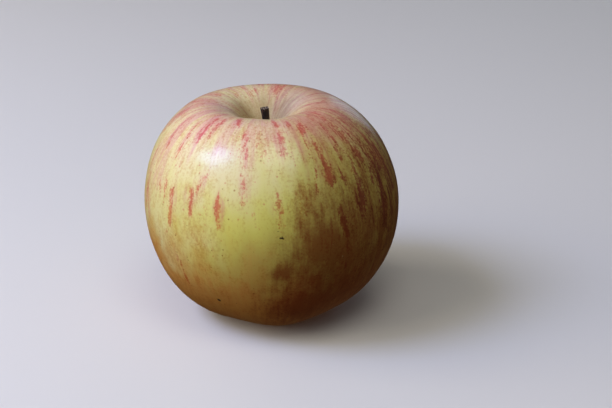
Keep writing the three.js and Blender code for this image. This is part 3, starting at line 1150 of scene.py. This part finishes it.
class Pigment:
    """Lays the colours on the skin: the photograph's marks, and like ones where it doesn't reach."""

    sunny_azimuth: float = math.radians(12)
    halo_spread: float = 2.8
    wobble_pitch: float = 1.3 * MM
    end_fade: float = 1.2 * MM

    def __init__(self, skin: bpy.types.Object, lens: Lens, seed: int = 11) -> None:
        """Reads where each corner of the skin lies: its azimuth, its arc from the stem and its radius.

        Args:
            skin: the fruit's mesh, with the attributes flow and radius.
            lens: the camera, which turns a pixel into a place on the skin.
            seed: fixes the random draws.
        """
        self.mesh = skin.data
        self.lens = lens
        self.draw = random.Random(seed)
        flow = np.empty(len(self.mesh.vertices) * 3)
        self.mesh.attributes["flow"].data.foreach_get("vector", flow)
        flow = flow.reshape(-1, 3)
        self.azimuth = np.arctan2(flow[:, 1], flow[:, 0])
        self.down = flow[:, 2]
        self.arc = self.down * MM
        self.sunny = 0.5 + 0.5 * np.cos(self.azimuth - self.sunny_azimuth)
        self.sun = ramp(self.sunny, 0.5, 0.9)
        self.radius = self.read("radius")
        places = np.empty(len(self.mesh.vertices) * 3)
        self.mesh.vertices.foreach_get("co", places)
        self.places = places.reshape(-1, 3)
        corners = [vertex.co for vertex in self.mesh.vertices]
        self.surface = BVHTree.FromPolygons(corners, [tuple(face.vertices) for face in self.mesh.polygons])

    def read(self, name: str) -> np.ndarray:
        """A float attribute of the mesh.

        Args:
            name: the attribute's name.

        Returns:
            Its value at each corner.
        """
        values = np.empty(len(self.mesh.vertices))
        self.mesh.attributes[name].data.foreach_get("value", values)
        return values

    def write(self, layer: Layer, values: np.ndarray) -> None:
        """Stores a layer on the mesh."""
        made = self.mesh.attributes.new(layer.value, "FLOAT", "POINT")
        made.data.foreach_set("value", values.astype(np.float32))

    def spot(self, pixel: tuple[float, float]) -> tuple[float, float, np.ndarray]:
        """The place on the skin under a pixel of the photograph.

        Args:
            pixel: the pixel, in the photograph's frame.

        Returns:
            Its azimuth, its length along the meridian from the stem, and its place.
        """
        start, heading = self.lens.ray(pixel)
        place, _, face, _ = self.surface.ray_cast(start, heading)
        if place is None:
            raise ValueError(f"the pixel {pixel} is beside the fruit")
        corners = list(self.mesh.polygons[face].vertices)
        away = np.linalg.norm(self.places[corners] - np.array(place), axis=1)
        weight = 1 / (away + 1e-6)
        weight /= weight.sum()
        turns = np.exp(1j * self.azimuth[corners])
        azimuth = float(np.angle((turns * weight).sum()))
        return azimuth, float((self.arc[corners] * weight).sum()), np.array(place)

    def run_of(self, stripe: Stripe) -> Run:
        """A photographed stripe on the skin itself.

        Args:
            stripe: the stripe, by its pixels.

        Returns:
            The stripe, by its place.
        """
        top_azimuth, top_arc, _ = self.spot(stripe.top)
        foot_azimuth, foot_arc, _ = self.spot(stripe.foot)
        return Run(top_azimuth, top_arc, foot_azimuth, foot_arc, stripe.width, stripe.depth)

    def strength(self, run: Run, spread: float = 1.0) -> np.ndarray:
        """How strongly a run colours each corner of the mesh.

        Args:
            run: the stripe.
            spread: makes it so many times wider.

        Returns:
            Its depth along its middle, fading to nothing beside it and past its ends.
        """
        length = run.foot_arc - run.top_arc
        share = (self.arc - run.top_arc) / length
        turn = (run.foot_azimuth - run.top_azimuth + math.pi) % (2 * math.pi) - math.pi
        middle = run.top_azimuth + turn * np.clip(share, 0, 1)
        across = (self.azimuth - middle + math.pi) % (2 * math.pi) - math.pi
        taper = 0.7 + 0.3 * np.sin(np.pi * np.clip(share, 0.02, 0.98)) ** 0.5
        wobble = taper * (1 + 0.25 * np.sin(self.arc / self.wobble_pitch + run.top_azimuth * 40))
        beside = across * self.radius / (run.width * spread * 0.5 * wobble)
        fade = self.end_fade * spread / abs(length)
        from_top = ramp(share, -fade, 1.2 * fade)
        from_foot = ramp(1 - share, -fade, 1.2 * fade)
        return run.depth * np.exp(-(beside ** 2)) * from_top * from_foot

    def cloud(self, patch: Patch) -> np.ndarray:
        """How strongly a patch colours each corner: full in its middle, next to nothing at two radii.

        Args:
            patch: the patch.

        Returns:
            Its strength at each corner.
        """
        _, _, place = self.spot(patch.middle)
        away = np.linalg.norm(self.places - place, axis=1) / patch.radius
        return patch.depth * np.exp(-(away ** 2))

    def facing(self, degrees: float, reach: float) -> np.ndarray:
        """1 on the side that faces an azimuth, falling off over a reach, both in degrees.

        Args:
            degrees: the azimuth.
            reach: how far off it the value is 0.37.

        Returns:
            The value at each corner.
        """
        turn = np.degrees(self.azimuth) - degrees
        away = (turn + 180) % 360 - 180
        return np.exp(-((away / reach) ** 2))

    def band(self, arc: float, reach: float) -> np.ndarray:
        """1 at a length along the meridian, falling off over a reach, both in millimetres."""
        return np.exp(-(((self.down - arc) / reach) ** 2))

    def zone(self, degrees: float, reach: float, arc: float, spread: float) -> np.ndarray:
        """1 at a place on the skin, falling off over a reach in degrees and a spread in millimetres."""
        return self.facing(degrees, reach) * self.band(arc, spread)

    def lay(self) -> None:
        """Paints every layer that the skin's material reads."""
        clouds = sum(self.cloud(patch) for patch in PATCHES)
        speckles = sum(self.cloud(patch) for patch in SPECKLES)
        self.lay_stripes()
        self.lay_reds(clouds, speckles)
        self.lay_ground(speckles)
        self.lay_cavity()
        self.write(Layer.SCAR, np.max([self.cloud(scar) for scar in SCARS], axis=0))

    def lay_stripes(self) -> None:
        """Paints the stripes, and the pink wash beside them, on the crest and on the cheeks; on the crest the
        wash is partly a painted sheen.
        """
        runs = [self.run_of(stripe) for stripe in STRIPES]
        for field in FIELDS:
            runs += field.runs(self.draw)
        red = np.zeros(len(self.down))
        halo = np.zeros(len(self.down))
        for run in runs:
            red = np.maximum(red, self.strength(run))
            halo = np.maximum(halo, self.strength(run, self.halo_spread))
        # The wash on the crest is pink and partly a painted sheen: less of it on the back left and at the
        # front.
        crest = self.band(27, 12) * (1 - 0.6 * self.facing(128, 42) + 0.4 * self.facing(25, 45))
        crest = crest * (0.54 - 0.07 * self.facing(-90, 28))
        cheeks = 0.22 * self.sun * self.band(44, 20) + 0.25 * self.zone(-153, 25, 50, 14)
        cheeks += 0.1 * self.zone(-50, 18, 37, 9) + 0.3 * self.zone(179, 16, 21, 7)
        self.write(Layer.RED, red)
        self.write(Layer.HALO, 0.4 * halo + crest + cheeks)
        LOG.info("laid %d stripes and %d patches on the skin", len(runs), len(PATCHES))

    def lay_reds(self, clouds: np.ndarray, speckles: np.ndarray) -> None:
        """Paints the blush, which is also painted shade on the lower right and towards the foot, the fans of
        streaks and the flecks, and how dark or rusty their red is.

        Args:
            clouds: the photographed patches of blush.
            speckles: the photographed patches of flecks.
        """
        foot = ramp(self.down, 62, 90)
        # Blush and painted shade: on the sunny right side, growing towards the foot.
        flush_and_shade = ramp(self.sunny + 0.13 * foot, 0.39, 0.73) * ramp(self.down, 34, 68)
        right = 0.2 * self.zone(-15, 25, 72, 16) - 0.1 * self.zone(-61, 15, 77, 10)
        right += 0.12 * self.zone(-36, 16, 45, 10)
        self.write(Layer.BLUSH_AND_SHADE, 0.72 * flush_and_shade + 0.9 * clouds + right)
        hollow = 1 - ramp(self.down, 16, 24)
        fans = 0.02 + 0.26 * self.band(32, 12) + 0.47 * self.sun * self.band(57, 36) + 0.1 * clouds
        fans += 0.2 * self.zone(179, 16, 21, 7) - 0.16 * self.zone(-44, 26, 36, 10)
        self.write(Layer.STREAKS, fans * (1 - 0.8 * hollow))
        flecks = 0.2 - 0.1 * self.facing(-98, 32) + 0.2 * self.band(33, 11)
        flecks += 0.16 * flush_and_shade + 0.2 * clouds + 0.34 * speckles
        self.write(Layer.FLECKS, flecks * (1 - 0.6 * hollow))
        ripe = ramp(self.sunny, 0.2, 0.82) * np.maximum(ramp(self.down, 24, 60), 0.05)
        self.write(Layer.RIPENESS, ripe + 0.3 * self.zone(28, 50, 25, 8))
        rust = 0.8 * (1 - self.sun) * ramp(self.down, 50, 68)
        self.write(Layer.RUST, rust + 0.6 * speckles + 0.5 * clouds)

    def lay_ground(self, speckles: np.ndarray) -> None:
        """Paints where the ground is cream, green, olive or amber, and where it is dusted with specks; the
        olive on the lower front is painted shade.

        Args:
            speckles: the photographed patches of flecks.
        """
        cream = (1 - ramp(self.down, 32, 58)) * (1 - 0.8 * ramp(self.sunny, 0.5, 0.75))
        self.write(Layer.CREAM, cream + 0.62 * self.zone(-119, 24, 60, 15))
        between = self.zone(-69, 21, 47, 20)
        green = self.zone(-92, 46, 76, 26) + self.zone(120, 50, 70, 18)
        self.write(Layer.GREEN, green + 0.45 * between)
        # Painted shade: olive laid on the lower front, and a little taken off the right shoulder.
        shade = 1.2 * self.zone(-86, 29, 79, 15) - 0.15 * self.zone(-47, 20, 37, 9)
        olive = ramp(self.sunny, 0.47, 0.71) * self.band(64, 32)
        self.write(Layer.OLIVE_AND_SHADE, olive + 0.2 * between + shade)
        amber = ramp(self.down + 4 * self.facing(-108, 35), 66, 94) * (1 - 0.12 * self.facing(-140, 30))
        amber += 0.75 * self.facing(176, 38) * ramp(self.down, 46, 76)
        amber *= 1 - 0.6 * ramp(self.down, 99, 111)
        self.write(Layer.AMBER, amber + 0.3 * speckles)
        self.write(Layer.SPECKS, 0.46 + 0.5 * speckles - 0.3 * self.zone(-95, 42, 62, 26))

    def lay_cavity(self) -> None:
        """Paints the stem cavity: its own olive tan, with painted shade deeper in it and on its right wall, a
        grey painted shade on that wall, and russet near the stem that is also painted shade up its walls.
        """
        # Painted shade: the cavity's tone grows towards its floor and is laid on its right wall.
        lit_wall_shade = 0.6 * self.zone(45, 45, 23, 6)
        self.write(Layer.CAVITY, np.clip((22 - self.down) / 8 + lit_wall_shade, 0, 1))
        # Painted shade: the grey on the cavity's right wall.
        self.write(Layer.BLOOM, 0.37 * self.zone(30, 45, 18, 11))
        # Painted shade: more russet on the cavity's right wall and, a little, on its left wall.
        painted_wall_shade = 0.95 * self.zone(48, 45, 17, 8) + 0.2 * self.zone(165, 45, 12, 4)
        self.write(Layer.RUSSET_AND_SHADE, np.clip(1 - self.down / 12 + painted_wall_shade, 0, 1))


@dataclass(frozen=True)
class Skin:
    """The fruit's skin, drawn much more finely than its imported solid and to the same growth."""

    steps_along: int = 252
    steps_round: int = 384
    root_drop: float = 2 * MM
    eye_radius: float = 2.1 * MM
    eye_height: float = 9.5 * MM
    undulation: float = 0.22 * MM
    undulation_pitch: float = 62.0
    pad_height: float = 0.4 * MM
    pad_fade: float = 6 * MM
    cloud_shift: ClassVar[tuple[float, float, float]] = (0.31, 0.17, 0.05)

    def build(self, growth: Growth, finish: SkinFinish) -> bpy.types.Object:
        """Makes the skin as one closed mesh, which keeps its place on the round fruit as attributes.

        Args:
            growth: the fruit's form.
            finish: its colours and gloss.

        Returns:
            The skin.
        """
        tree = PieceTree("apple_skin", growth, self)
        graph = tree.graph
        meridian = self.meridian(tree)
        grid, along, around, uv = tree.sheet(tree["steps_along"], tree["steps_round"])
        radius, _, height = graph.split(tree.sample(meridian, along)[0])
        length = Wire(graph, graph.node("GeometryNodeCurveLength", {"Curve": meridian}).outputs[0])
        azimuth = around * (2 * math.pi)
        arc = along * length
        flow = graph.vector(
            azimuth.math("COSINE") * tree["equator_radius"] / MM,
            azimuth.math("SINE") * tree["equator_radius"] / MM,
            arc / MM,
        )
        uv_along, uv_around, _ = graph.split(uv)
        shaped = tree.keep(grid, "OFBake", graph.vector(uv_around, uv_along, 0.0), "FLOAT2", "CORNER")
        shaped = tree.keep(shaped, "flow", flow, "FLOAT_VECTOR")
        shaped = tree.keep(shaped, "radius", radius)
        welded = tree.weld(tree.place(shaped, tree.grown(radius, azimuth, height)))
        place = tree.position()
        level = graph.split(place)[2].smooth(tree["pad_height"], tree["pad_fade"])
        shifted = graph.vector_math("ADD", place, self.cloud_shift)
        clouds = graph.noise(shifted, self.undulation_pitch, 2.0, 0.45)
        lifted = tree.push(welded, (clouds - 0.5) * 2.0 * tree["undulation"] * level)
        return tree.finish(lifted, finish.material())

    @staticmethod
    def meridian(tree: PieceTree) -> Wire:
        """The fruit's meridian from the stem's root over the crest and round the foot to the calyx.

        Args:
            tree: the skin's tree, with the sizes as its inputs.

        Returns:
            The curve, in the plane of radius and height.
        """
        floor = tree["height"] - tree["cavity_depth"]
        floor_radius = tree["cavity_floor_radius"]
        root = tree.stretch(
            (0.0, floor - tree["root_drop"]),
            (floor_radius * 0.5, floor - tree["root_drop"]),
            (floor_radius * 0.8, floor - tree["root_drop"] * 0.5),
            (floor_radius, floor),
        )
        cavity = tree.stretch(
            (floor_radius, floor),
            (floor_radius + tree["cavity_floor_outward"], floor + tree["cavity_floor_upward"]),
            (tree["crest_radius"] - tree["crest_inward"], tree["height"]),
            (tree["crest_radius"], tree["height"]),
        )
        shoulder = tree.stretch(
            (tree["crest_radius"], tree["height"]),
            (tree["crest_radius"] + tree["crest_outward"], tree["height"]),
            (tree["equator_radius"], tree["equator_height"] + tree["equator_upward"]),
            (tree["equator_radius"], tree["equator_height"]),
        )
        flank = tree.stretch(
            (tree["equator_radius"], tree["equator_height"]),
            (tree["equator_radius"], tree["equator_height"] - tree["equator_downward"]),
            (tree["foot_radius"] + tree["foot_outward"], 0.0),
            (tree["foot_radius"], 0.0),
        )
        basin = tree.stretch(
            (tree["foot_radius"], 0.0),
            (tree["foot_radius"] - tree["foot_inward"], 0.0),
            (tree["basin_floor_radius"] + tree["basin_floor_outward"], tree["basin_depth"]),
            (tree["basin_floor_radius"], tree["basin_depth"]),
        )
        eye = tree.stretch(
            (tree["basin_floor_radius"], tree["basin_depth"]),
            (tree["eye_radius"], tree["basin_depth"]),
            (tree["eye_radius"], tree["basin_depth"]),
            (tree["eye_radius"], tree["eye_height"]),
        )
        roof = tree.stretch(
            (tree["eye_radius"], tree["eye_height"]),
            (tree["eye_radius"] * 0.7, tree["eye_height"]),
            (tree["eye_radius"] * 0.3, tree["eye_height"]),
            (0.0, tree["eye_height"]),
        )
        return tree.joined(root, cavity, shoulder, flank, basin, eye, roof)

    @staticmethod
    def offset(skin: bpy.types.Object) -> Vector:
        """What moves the middle of the fruit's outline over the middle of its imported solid.

        Args:
            skin: the skin's mesh.

        Returns:
            The move, which is level.
        """
        places = np.array([vertex.co for vertex in skin.data.vertices])
        low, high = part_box("fruit")
        away = (low + high) / 2 - Vector((places.min(0) + places.max(0)) / 2)
        return Vector((away.x, away.y, 0))


@dataclass(frozen=True)
class Stem:
    """The woody stem: a ridged, slightly bent stalk with a waist and a broken, fibrous end."""

    stem_radius: float = 1.33 * MM
    waist_share: float = 0.84
    knob_length_share: float = 0.14
    end_depth: float = 1.7 * MM
    end_slope: float = 0.3 * MM
    bend: float = 0.35 * MM
    ridges: float = 4.0
    ridge_share: float = 0.05
    twist: float = 2.0
    socket_depth: float = 4 * MM
    clearance: float = 0.3 * MM
    cap_share: float = 0.07
    pit_depth: float = 0.5 * MM
    tatter: float = 0.55 * MM
    fibre_lift: float = 0.1 * MM
    splinter_count: int = 16
    splinter_radius: float = 0.13 * MM
    splinter_length: float = 1.2 * MM
    steps_along: int = 150
    steps_round: int = 72

    def build(self, growth: Growth, finish: WoodFinish) -> bpy.types.Object:
        """Makes the stem.

        Args:
            growth: the fruit's form, which the stem leans with.
            finish: its bark.

        Returns:
            The stem.
        """
        tree = PieceTree("apple_stem", growth, self)
        graph = tree.graph
        foot = tree["height"] - tree["cavity_depth"] - tree["socket_depth"] + tree["clearance"]
        length = tree["height"] - tree["end_depth"] - foot
        grid, share, around, _ = tree.sheet(tree["steps_along"], tree["steps_round"])
        cap = tree["cap_share"]
        from_foot = (share / cap).math("MINIMUM", 1.0).math("MAXIMUM", 0.0)
        from_end = ((1.0 - share) / cap).math("MINIMUM", 1.0).math("MAXIMUM", 0.0)
        along = ((share - cap) / (1.0 - 2.0 * cap)).math("MINIMUM", 1.0).math("MAXIMUM", 0.0)
        turn = around * (-2 * math.pi)
        from_knob = (1.0 - along) / tree["knob_length_share"]
        knob = (from_knob * from_knob * -1.0).math("EXPONENT")
        swell = ((1.0 - along) ** 2).math("MAXIMUM", knob)
        thickness = tree["stem_radius"] * (tree["waist_share"] + (1.0 - tree["waist_share"]) * swell)
        ridging = (tree["ridges"] * turn + tree["twist"] * along).math("COSINE")
        ridged = thickness * (1.0 + tree["ridge_share"] * ridging)
        rounded = (from_end * (math.pi / 2)).math("SINE") ** 0.8
        radius = ridged * from_foot * rounded
        sideways = tree["bend"] * (along * math.pi).math("SINE") * along
        x = radius * turn.math("COSINE")
        y = radius * turn.math("SINE")
        fibres = graph.noise(graph.vector(x, y, 0.0), 1.9 / MM, 2.0, 0.6) - 0.5
        broken = 1.0 - from_end ** 3
        ragged = along.math("GREATER_THAN", 0.999) * (
            tree["end_slope"] * turn.math("COSINE") * from_end
            - tree["pit_depth"] * (1.0 - from_end)
            + tree["tatter"] * fibres * 3.0 * (0.35 + 0.65 * from_end) * broken.math("MAXIMUM", 0.4)
        )
        shaped = tree.keep(grid, "pale", (along.smooth(0.985, 1.0)) * (fibres * 3.0).smooth(0.1, 0.7) * 0.5)
        shaped = tree.place(shaped, graph.vector(x + sideways, y, foot + length * along + ragged))
        welded = tree.weld(tree.grow_all(shaped))
        stretched = graph.vector_math("MULTIPLY", tree.position(), (1.5 / MM, 1.5 / MM, 0.22 / MM))
        bark = graph.noise(stretched, 1.0, 3.0, 0.6) - 0.5
        stalk = tree.push(welded, bark * 2.4 * tree["fibre_lift"])
        loose = tree.grow_all(self.splinters(tree, foot + length))
        return tree.finish(tree.joined(stalk, tree.keep(loose, "pale", 0.8)), finish.material())

    @staticmethod
    def splinters(tree: PieceTree, top: Wire) -> Wire:
        """Loose fibres that stand up round the broken end.

        Args:
            tree: the stem's tree.
            top: the height of the end.

        Returns:
            The fibres.
        """
        graph = tree.graph
        turn = tree.index() * GOLDEN_ANGLE
        away = tree["stem_radius"] * tree.random(0.55, 0.9, 41)
        base = graph.vector(away * turn.math("COSINE"), away * turn.math("SINE"), top - 0.5 * MM)
        points = tree.points(tree["splinter_count"], base)
        splinter = tree.cone(5, tree["splinter_radius"], 0.02 * MM, tree["splinter_length"])
        leaning = graph.vector(tree.random(-0.3, 0.3, 43), tree.random(-0.3, 0.3, 47), turn)
        size = graph.vector(1.0, 1.0, tree.random(0.45, 1.0, 53))
        return tree.scatter(points, splinter, leaning, size)


@dataclass(frozen=True)
class Calyx:
    """The dried calyx: a small cup under the basin's floor, five curled sepals and a tuft of stamens."""

    cup_radius: float = 2.3 * MM
    cup_wall: float = 0.8 * MM
    cup_depth: float = 2.6 * MM
    cup_floor: float = 0.8 * MM
    cup_clearance: float = 0.3 * MM
    cup_stands_proud: float = 0.6 * MM
    sepals: int = 5
    sepal_width: float = 3.3 * MM
    sepal_tip_width: float = 0.25 * MM
    sepal_root_depth: float = 0.3 * MM
    sepal_drop: float = 3.5 * MM
    sepal_reach: float = 3.2 * MM
    sepal_thickness: float = 0.4 * MM
    sepal_cupping: float = 0.3
    stamens: int = 17
    stamen_thickness: float = 0.26 * MM
    stamen_ring_radius: float = 0.6 * MM
    stamen_drop: float = 4.2 * MM
    stamen_spread: float = 0.8 * MM
    crinkle: float = 0.22 * MM
    hairs_density: float = 3.2e6
    hair_length: float = 0.7 * MM
    hair_radius: float = 0.03 * MM

    def build(self, growth: Growth, finish: WoodFinish) -> bpy.types.Object:
        """Makes the calyx.

        Args:
            growth: the fruit's form, which the calyx sits in.
            finish: its dry tissue.

        Returns:
            The calyx.
        """
        tree = PieceTree("apple_calyx", growth, self)
        top = tree["basin_depth"] + tree["cup_depth"] - tree["cup_clearance"]
        rim = tree["basin_depth"] - tree["cup_stands_proud"]
        tissue = tree.joined(self.cup(tree, top, rim), self.ring_of_sepals(tree, rim))
        crinkled = tree.push(tissue, self.wrinkles(tree))
        tuft = self.tuft(tree, top)
        dressed = tree.joined(tree.keep(crinkled, "pale", 0.12), tree.keep(tuft, "pale", 0.3),
                              tree.keep(self.hairs(tree, crinkled), "pale", 0.9))
        return tree.finish(tree.grow_all(dressed), finish.material())

    @staticmethod
    def wrinkles(tree: PieceTree) -> Wire:
        """How far the dried tissue is crinkled in or out."""
        noise = tree.graph.noise(tree.position(), 0.55 / MM, 3.0, 0.55) - 0.5
        return noise * 2.4 * tree["crinkle"]

    @staticmethod
    def cup(tree: PieceTree, top: Wire, rim: Wire) -> Wire:
        """The cup, open towards the ground, with a rounded rim.

        Args:
            tree: the calyx's tree.
            top: the height of the cup's closed end.
            rim: the height of its rim.

        Returns:
            The cup.
        """
        outer = tree["cup_radius"]
        inner = outer - tree["cup_wall"]
        middle = outer - tree["cup_wall"] * 0.5
        floor = top - tree["cup_floor"]
        bowl = tree.stretch(
            (0.0, floor), (inner * 0.8, floor), (inner, floor - 0.3 * MM), (inner, rim + 0.4 * MM),
        )
        lip = tree.stretch((inner, rim + 0.4 * MM), (inner, rim), (middle, rim), (middle, rim))
        edge = tree.stretch((middle, rim), (outer, rim), (outer, rim + 0.2 * MM), (outer, rim + 0.6 * MM))
        wall = tree.stretch((outer, rim + 0.6 * MM), (outer, rim + 1.2 * MM), (outer, top), (0.0, top))
        return tree.turned(tree.joined(bowl, lip, edge, wall), 44, 60)

    @staticmethod
    def ring_of_sepals(tree: PieceTree, rim: Wire) -> Wire:
        """The sepals, which hang from the rim and curl outwards to their tips, no two quite alike.

        Args:
            tree: the calyx's tree.
            rim: the height of the cup's rim.

        Returns:
            The sepals.
        """
        graph = tree.graph
        outer = tree["cup_radius"]
        middle = outer - tree["cup_wall"] * 0.5
        drop = tree["sepal_drop"]
        spine = tree.stretch(
            (middle, tree["sepal_root_depth"]),
            (outer - tree["cup_wall"], drop * -0.6),
            (outer + tree["sepal_reach"] * 0.1, drop * -1.0),
            (outer + tree["sepal_reach"], drop * -1.0),
        )

        def half_width(along: Wire) -> Wire:
            """Half a sepal's width at a share of its length."""
            tapered = (1.0 - along ** 1.6) * (0.92 + 0.3 * along)
            return (tree["sepal_width"] * tapered + tree["sepal_tip_width"]) * 0.5

        sepal = tree.blade(spine, half_width, tree["sepal_thickness"], tree["sepal_cupping"], 40, 28)
        points = tree.points(tree["sepals"], graph.vector(0.0, 0.0, rim))
        azimuth = tree["lobe_azimuth"] + (tree.index() + 0.5) / tree["sepals"] * (2 * math.pi)
        turned = graph.vector(0.0, tree.random(-0.05, 0.05, 3), azimuth + tree.random(-0.12, 0.12, 5))
        size = tree.random(0.88, 1.06, 7)
        return tree.scatter(points, sepal, turned, graph.vector(size, size, size))

    @staticmethod
    def tuft(tree: PieceTree, top: Wire) -> Wire:
        """The withered stamens, each with a small anther at its tip.

        Args:
            tree: the calyx's tree.
            top: the height of the cup's closed end.

        Returns:
            The stamens.
        """
        graph = tree.graph
        ring = tree["stamen_ring_radius"]
        drop = tree["stamen_drop"]
        spine = tree.stretch(
            (ring * 0.3, 0.0),
            (ring, drop * -0.35),
            (ring, drop * -0.7),
            (ring + tree["stamen_spread"], drop * -1.0),
        )

        def half_width(along: Wire) -> Wire:
            """Half a stamen's width at a share of its length."""
            anther = along.smooth(0.84, 0.9) * (1.0 - along.smooth(0.93, 1.0))
            return tree["stamen_thickness"] * 0.5 * (1.0 + 1.3 * anther)

        stamen = tree.blade(spine, half_width, tree["stamen_thickness"] * 1.15, 0.0, 22, 8)
        base = graph.vector(0.0, 0.0, top - tree["cup_floor"] * 0.5)
        points = tree.points(tree["stamens"], base)
        turn = tree.index() * GOLDEN_ANGLE
        leaning = graph.vector(tree.random(-0.1, 0.1, 11), tree.random(-0.16, 0.1, 13), turn)
        size = tree.random(0.72, 1.04, 17)
        return tree.scatter(points, stamen, leaning, graph.vector(size, size, size))

    @staticmethod
    def hairs(tree: PieceTree, tissue: Wire) -> Wire:
        """Short pale down on the sepals and the cup's rim.

        Args:
            tree: the calyx's tree.
            tissue: the cup and the sepals.

        Returns:
            The hairs.
        """
        graph = tree.graph
        spread = graph.node("GeometryNodeDistributePointsOnFaces", {
            "Mesh": tissue, "Density": tree["hairs_density"], "Seed": 23,
        })
        hair = tree.cone(3, tree["hair_radius"], 0.0, tree["hair_length"])
        size = graph.vector(1.0, 1.0, tree.random(0.35, 1.0, 29))
        points = Wire(graph, spread.outputs["Points"])
        return tree.scatter(points, hair, Wire(graph, spread.outputs["Rotation"]), size)


class Tone(Enum):
    """The studio's lights, named for what each is for."""

    KEY = "key"
    WINDOW = "window"
    FRONT = "front"
    TOP = "top"
    BACK = "back"
    RIM = "rim"


@dataclass(frozen=True)
class Lamp:
    """A soft square light, placed by the direction that it comes from, in degrees."""

    tone: Tone
    azimuth: float
    elevation: float
    distance: float
    side: float
    power: float
    tint: Colour = (1.0, 1.0, 1.0)
    gleams: bool = True

    def build(self, middle: Vector) -> bpy.types.Object:
        """Makes the light and turns it to face a point.

        Args:
            middle: the point.

        Returns:
            The light.
        """
        data = bpy.data.lights.new(self.tone.value + "_light", "AREA")
        data.shape = "SQUARE"
        data.size = self.side
        data.energy = self.power
        data.color = self.tint
        lamp = bpy.data.objects.new(data.name, data)
        azimuth = math.radians(self.azimuth)
        elevation = math.radians(self.elevation)
        flat = math.cos(elevation)
        heading = Vector((flat * math.cos(azimuth), flat * math.sin(azimuth), math.sin(elevation)))
        lamp.location = middle + heading * self.distance
        lamp.rotation_euler = heading.to_track_quat("Z", "Y").to_euler()
        lamp.visible_glossy = self.gleams
        bpy.context.scene.collection.objects.link(lamp)
        return lamp


@dataclass(frozen=True)
class Studio:
    """A plain pale floor, soft light mostly from the left, and dim warm light from below."""

    floor_side: float = 12.0
    floor_tone: Colour = colour(222, 218, 212)
    sky: Colour = (0.9, 0.9, 0.94)
    ground: Colour = (1.0, 0.5, 0.22)
    fill: float = 0.07
    lamps: tuple[Lamp, ...] = (
        Lamp(Tone.KEY, azimuth=-164, elevation=47, distance=0.9, side=0.31, power=2.5,
             tint=(0.53, 0.8, 1.75)),
        Lamp(Tone.WINDOW, azimuth=-169, elevation=34, distance=1.0, side=0.95, power=8.8,
             tint=(1.06, 1.0, 0.91), gleams=False),
        Lamp(Tone.FRONT, azimuth=-112, elevation=34, distance=1.2, side=0.9, power=2.1, gleams=False),
        Lamp(Tone.TOP, azimuth=-74, elevation=66, distance=1.0, side=0.5, power=2.0,
             tint=(1.0, 0.97, 0.9)),
        Lamp(Tone.BACK, azimuth=122, elevation=12, distance=1.2, side=0.7, power=2.2, gleams=False),
        Lamp(Tone.RIM, azimuth=71, elevation=10, distance=1.2, side=0.45, power=0.55,
             tint=(0.72, 0.96, 1.12)),
    )

    def build(self, middle: Vector) -> None:
        """Makes the floor, the lights and the world.

        Args:
            middle: the point that the lights face.
        """
        self.floor()
        self.world()
        for lamp in self.lamps:
            lamp.build(middle)
        bpy.context.scene.view_settings.view_transform = "Standard"

    def floor(self) -> bpy.types.Object:
        """A wide flat floor, which throws no light of its own back on the apple.

        Returns:
            The floor.
        """
        half = self.floor_side / 2
        corners = [(-half, -half, 0), (half, -half, 0), (half, half, 0), (-half, half, 0)]
        mesh = bpy.data.meshes.new("floor")
        mesh.from_pydata(corners, [], [(0, 1, 2, 3)])
        floor = bpy.data.objects.new("floor", mesh)
        made = bpy.data.materials.new("floor")
        made.use_nodes = True
        shader = made.node_tree.nodes["Principled BSDF"]
        shader.inputs["Base Color"].default_value = (*self.floor_tone, 1.0)
        shader.inputs["Roughness"].default_value = 0.7
        mesh.materials.append(made)
        bpy.context.scene.collection.objects.link(floor)
        floor.visible_diffuse = False
        floor.visible_glossy = False
        floor.visible_shadow = False
        return floor

    def world(self) -> None:
        """Dim light all round, cool from above and warm from below."""
        world = bpy.data.worlds.new("studio")
        world.use_nodes = True
        world.node_tree.nodes.clear()
        graph = Graph(world.node_tree)
        heading = graph.node("ShaderNodeTexCoord").outputs["Generated"]
        level = graph.split(heading)[2]
        tint = blend(graph, level.smooth(-0.4, 0.4), self.ground, self.sky)
        shader = graph.node("ShaderNodeBackground", {"Color": tint, "Strength": self.fill})
        graph.node("ShaderNodeOutputWorld", {"Surface": shader.outputs[0]})
        bpy.context.scene.world = world


def fit(piece: bpy.types.Object, node: str) -> None:
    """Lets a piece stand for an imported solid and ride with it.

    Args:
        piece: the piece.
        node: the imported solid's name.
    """
    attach(piece, BODY)
    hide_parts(node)
    LOG.info("%s: %d faces, in place of %s", piece.name, len(piece.data.polygons), node)


def main() -> None:
    """Dresses the apple and sets up the studio."""
    logging.basicConfig(level=logging.INFO, format="%(name)s: %(message)s")
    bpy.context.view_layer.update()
    growth = Growth()
    lens = Lens()
    lens.camera()
    bark = WoodFinish(
        "bark", dark=(0.006, 0.005, 0.006), light=(0.09, 0.042, 0.026),
        pale=(0.42, 0.33, 0.24), fibre_pitch=(2.4, 2.4, 0.35),
    )
    husk = WoodFinish(
        "husk", dark=(0.035, 0.022, 0.012), light=(0.16, 0.10, 0.055),
        pale=(0.46, 0.38, 0.27), fibre_pitch=(1.6, 1.6, 1.6),
    )

    skin = Skin().build(growth, SkinFinish())
    stem = Stem().build(growth, bark)
    calyx = Calyx().build(growth, husk)
    offset = Skin.offset(skin)
    for piece in (skin, stem, calyx):
        piece.data.transform(Matrix.Translation(offset))
    Pigment(skin, lens).lay()
    fit(skin, "fruit")
    fit(stem, "stem")
    fit(calyx, "calyx")
    Studio().build(Vector(lens.apple_middle))


if __name__ == "__main__":
    main()
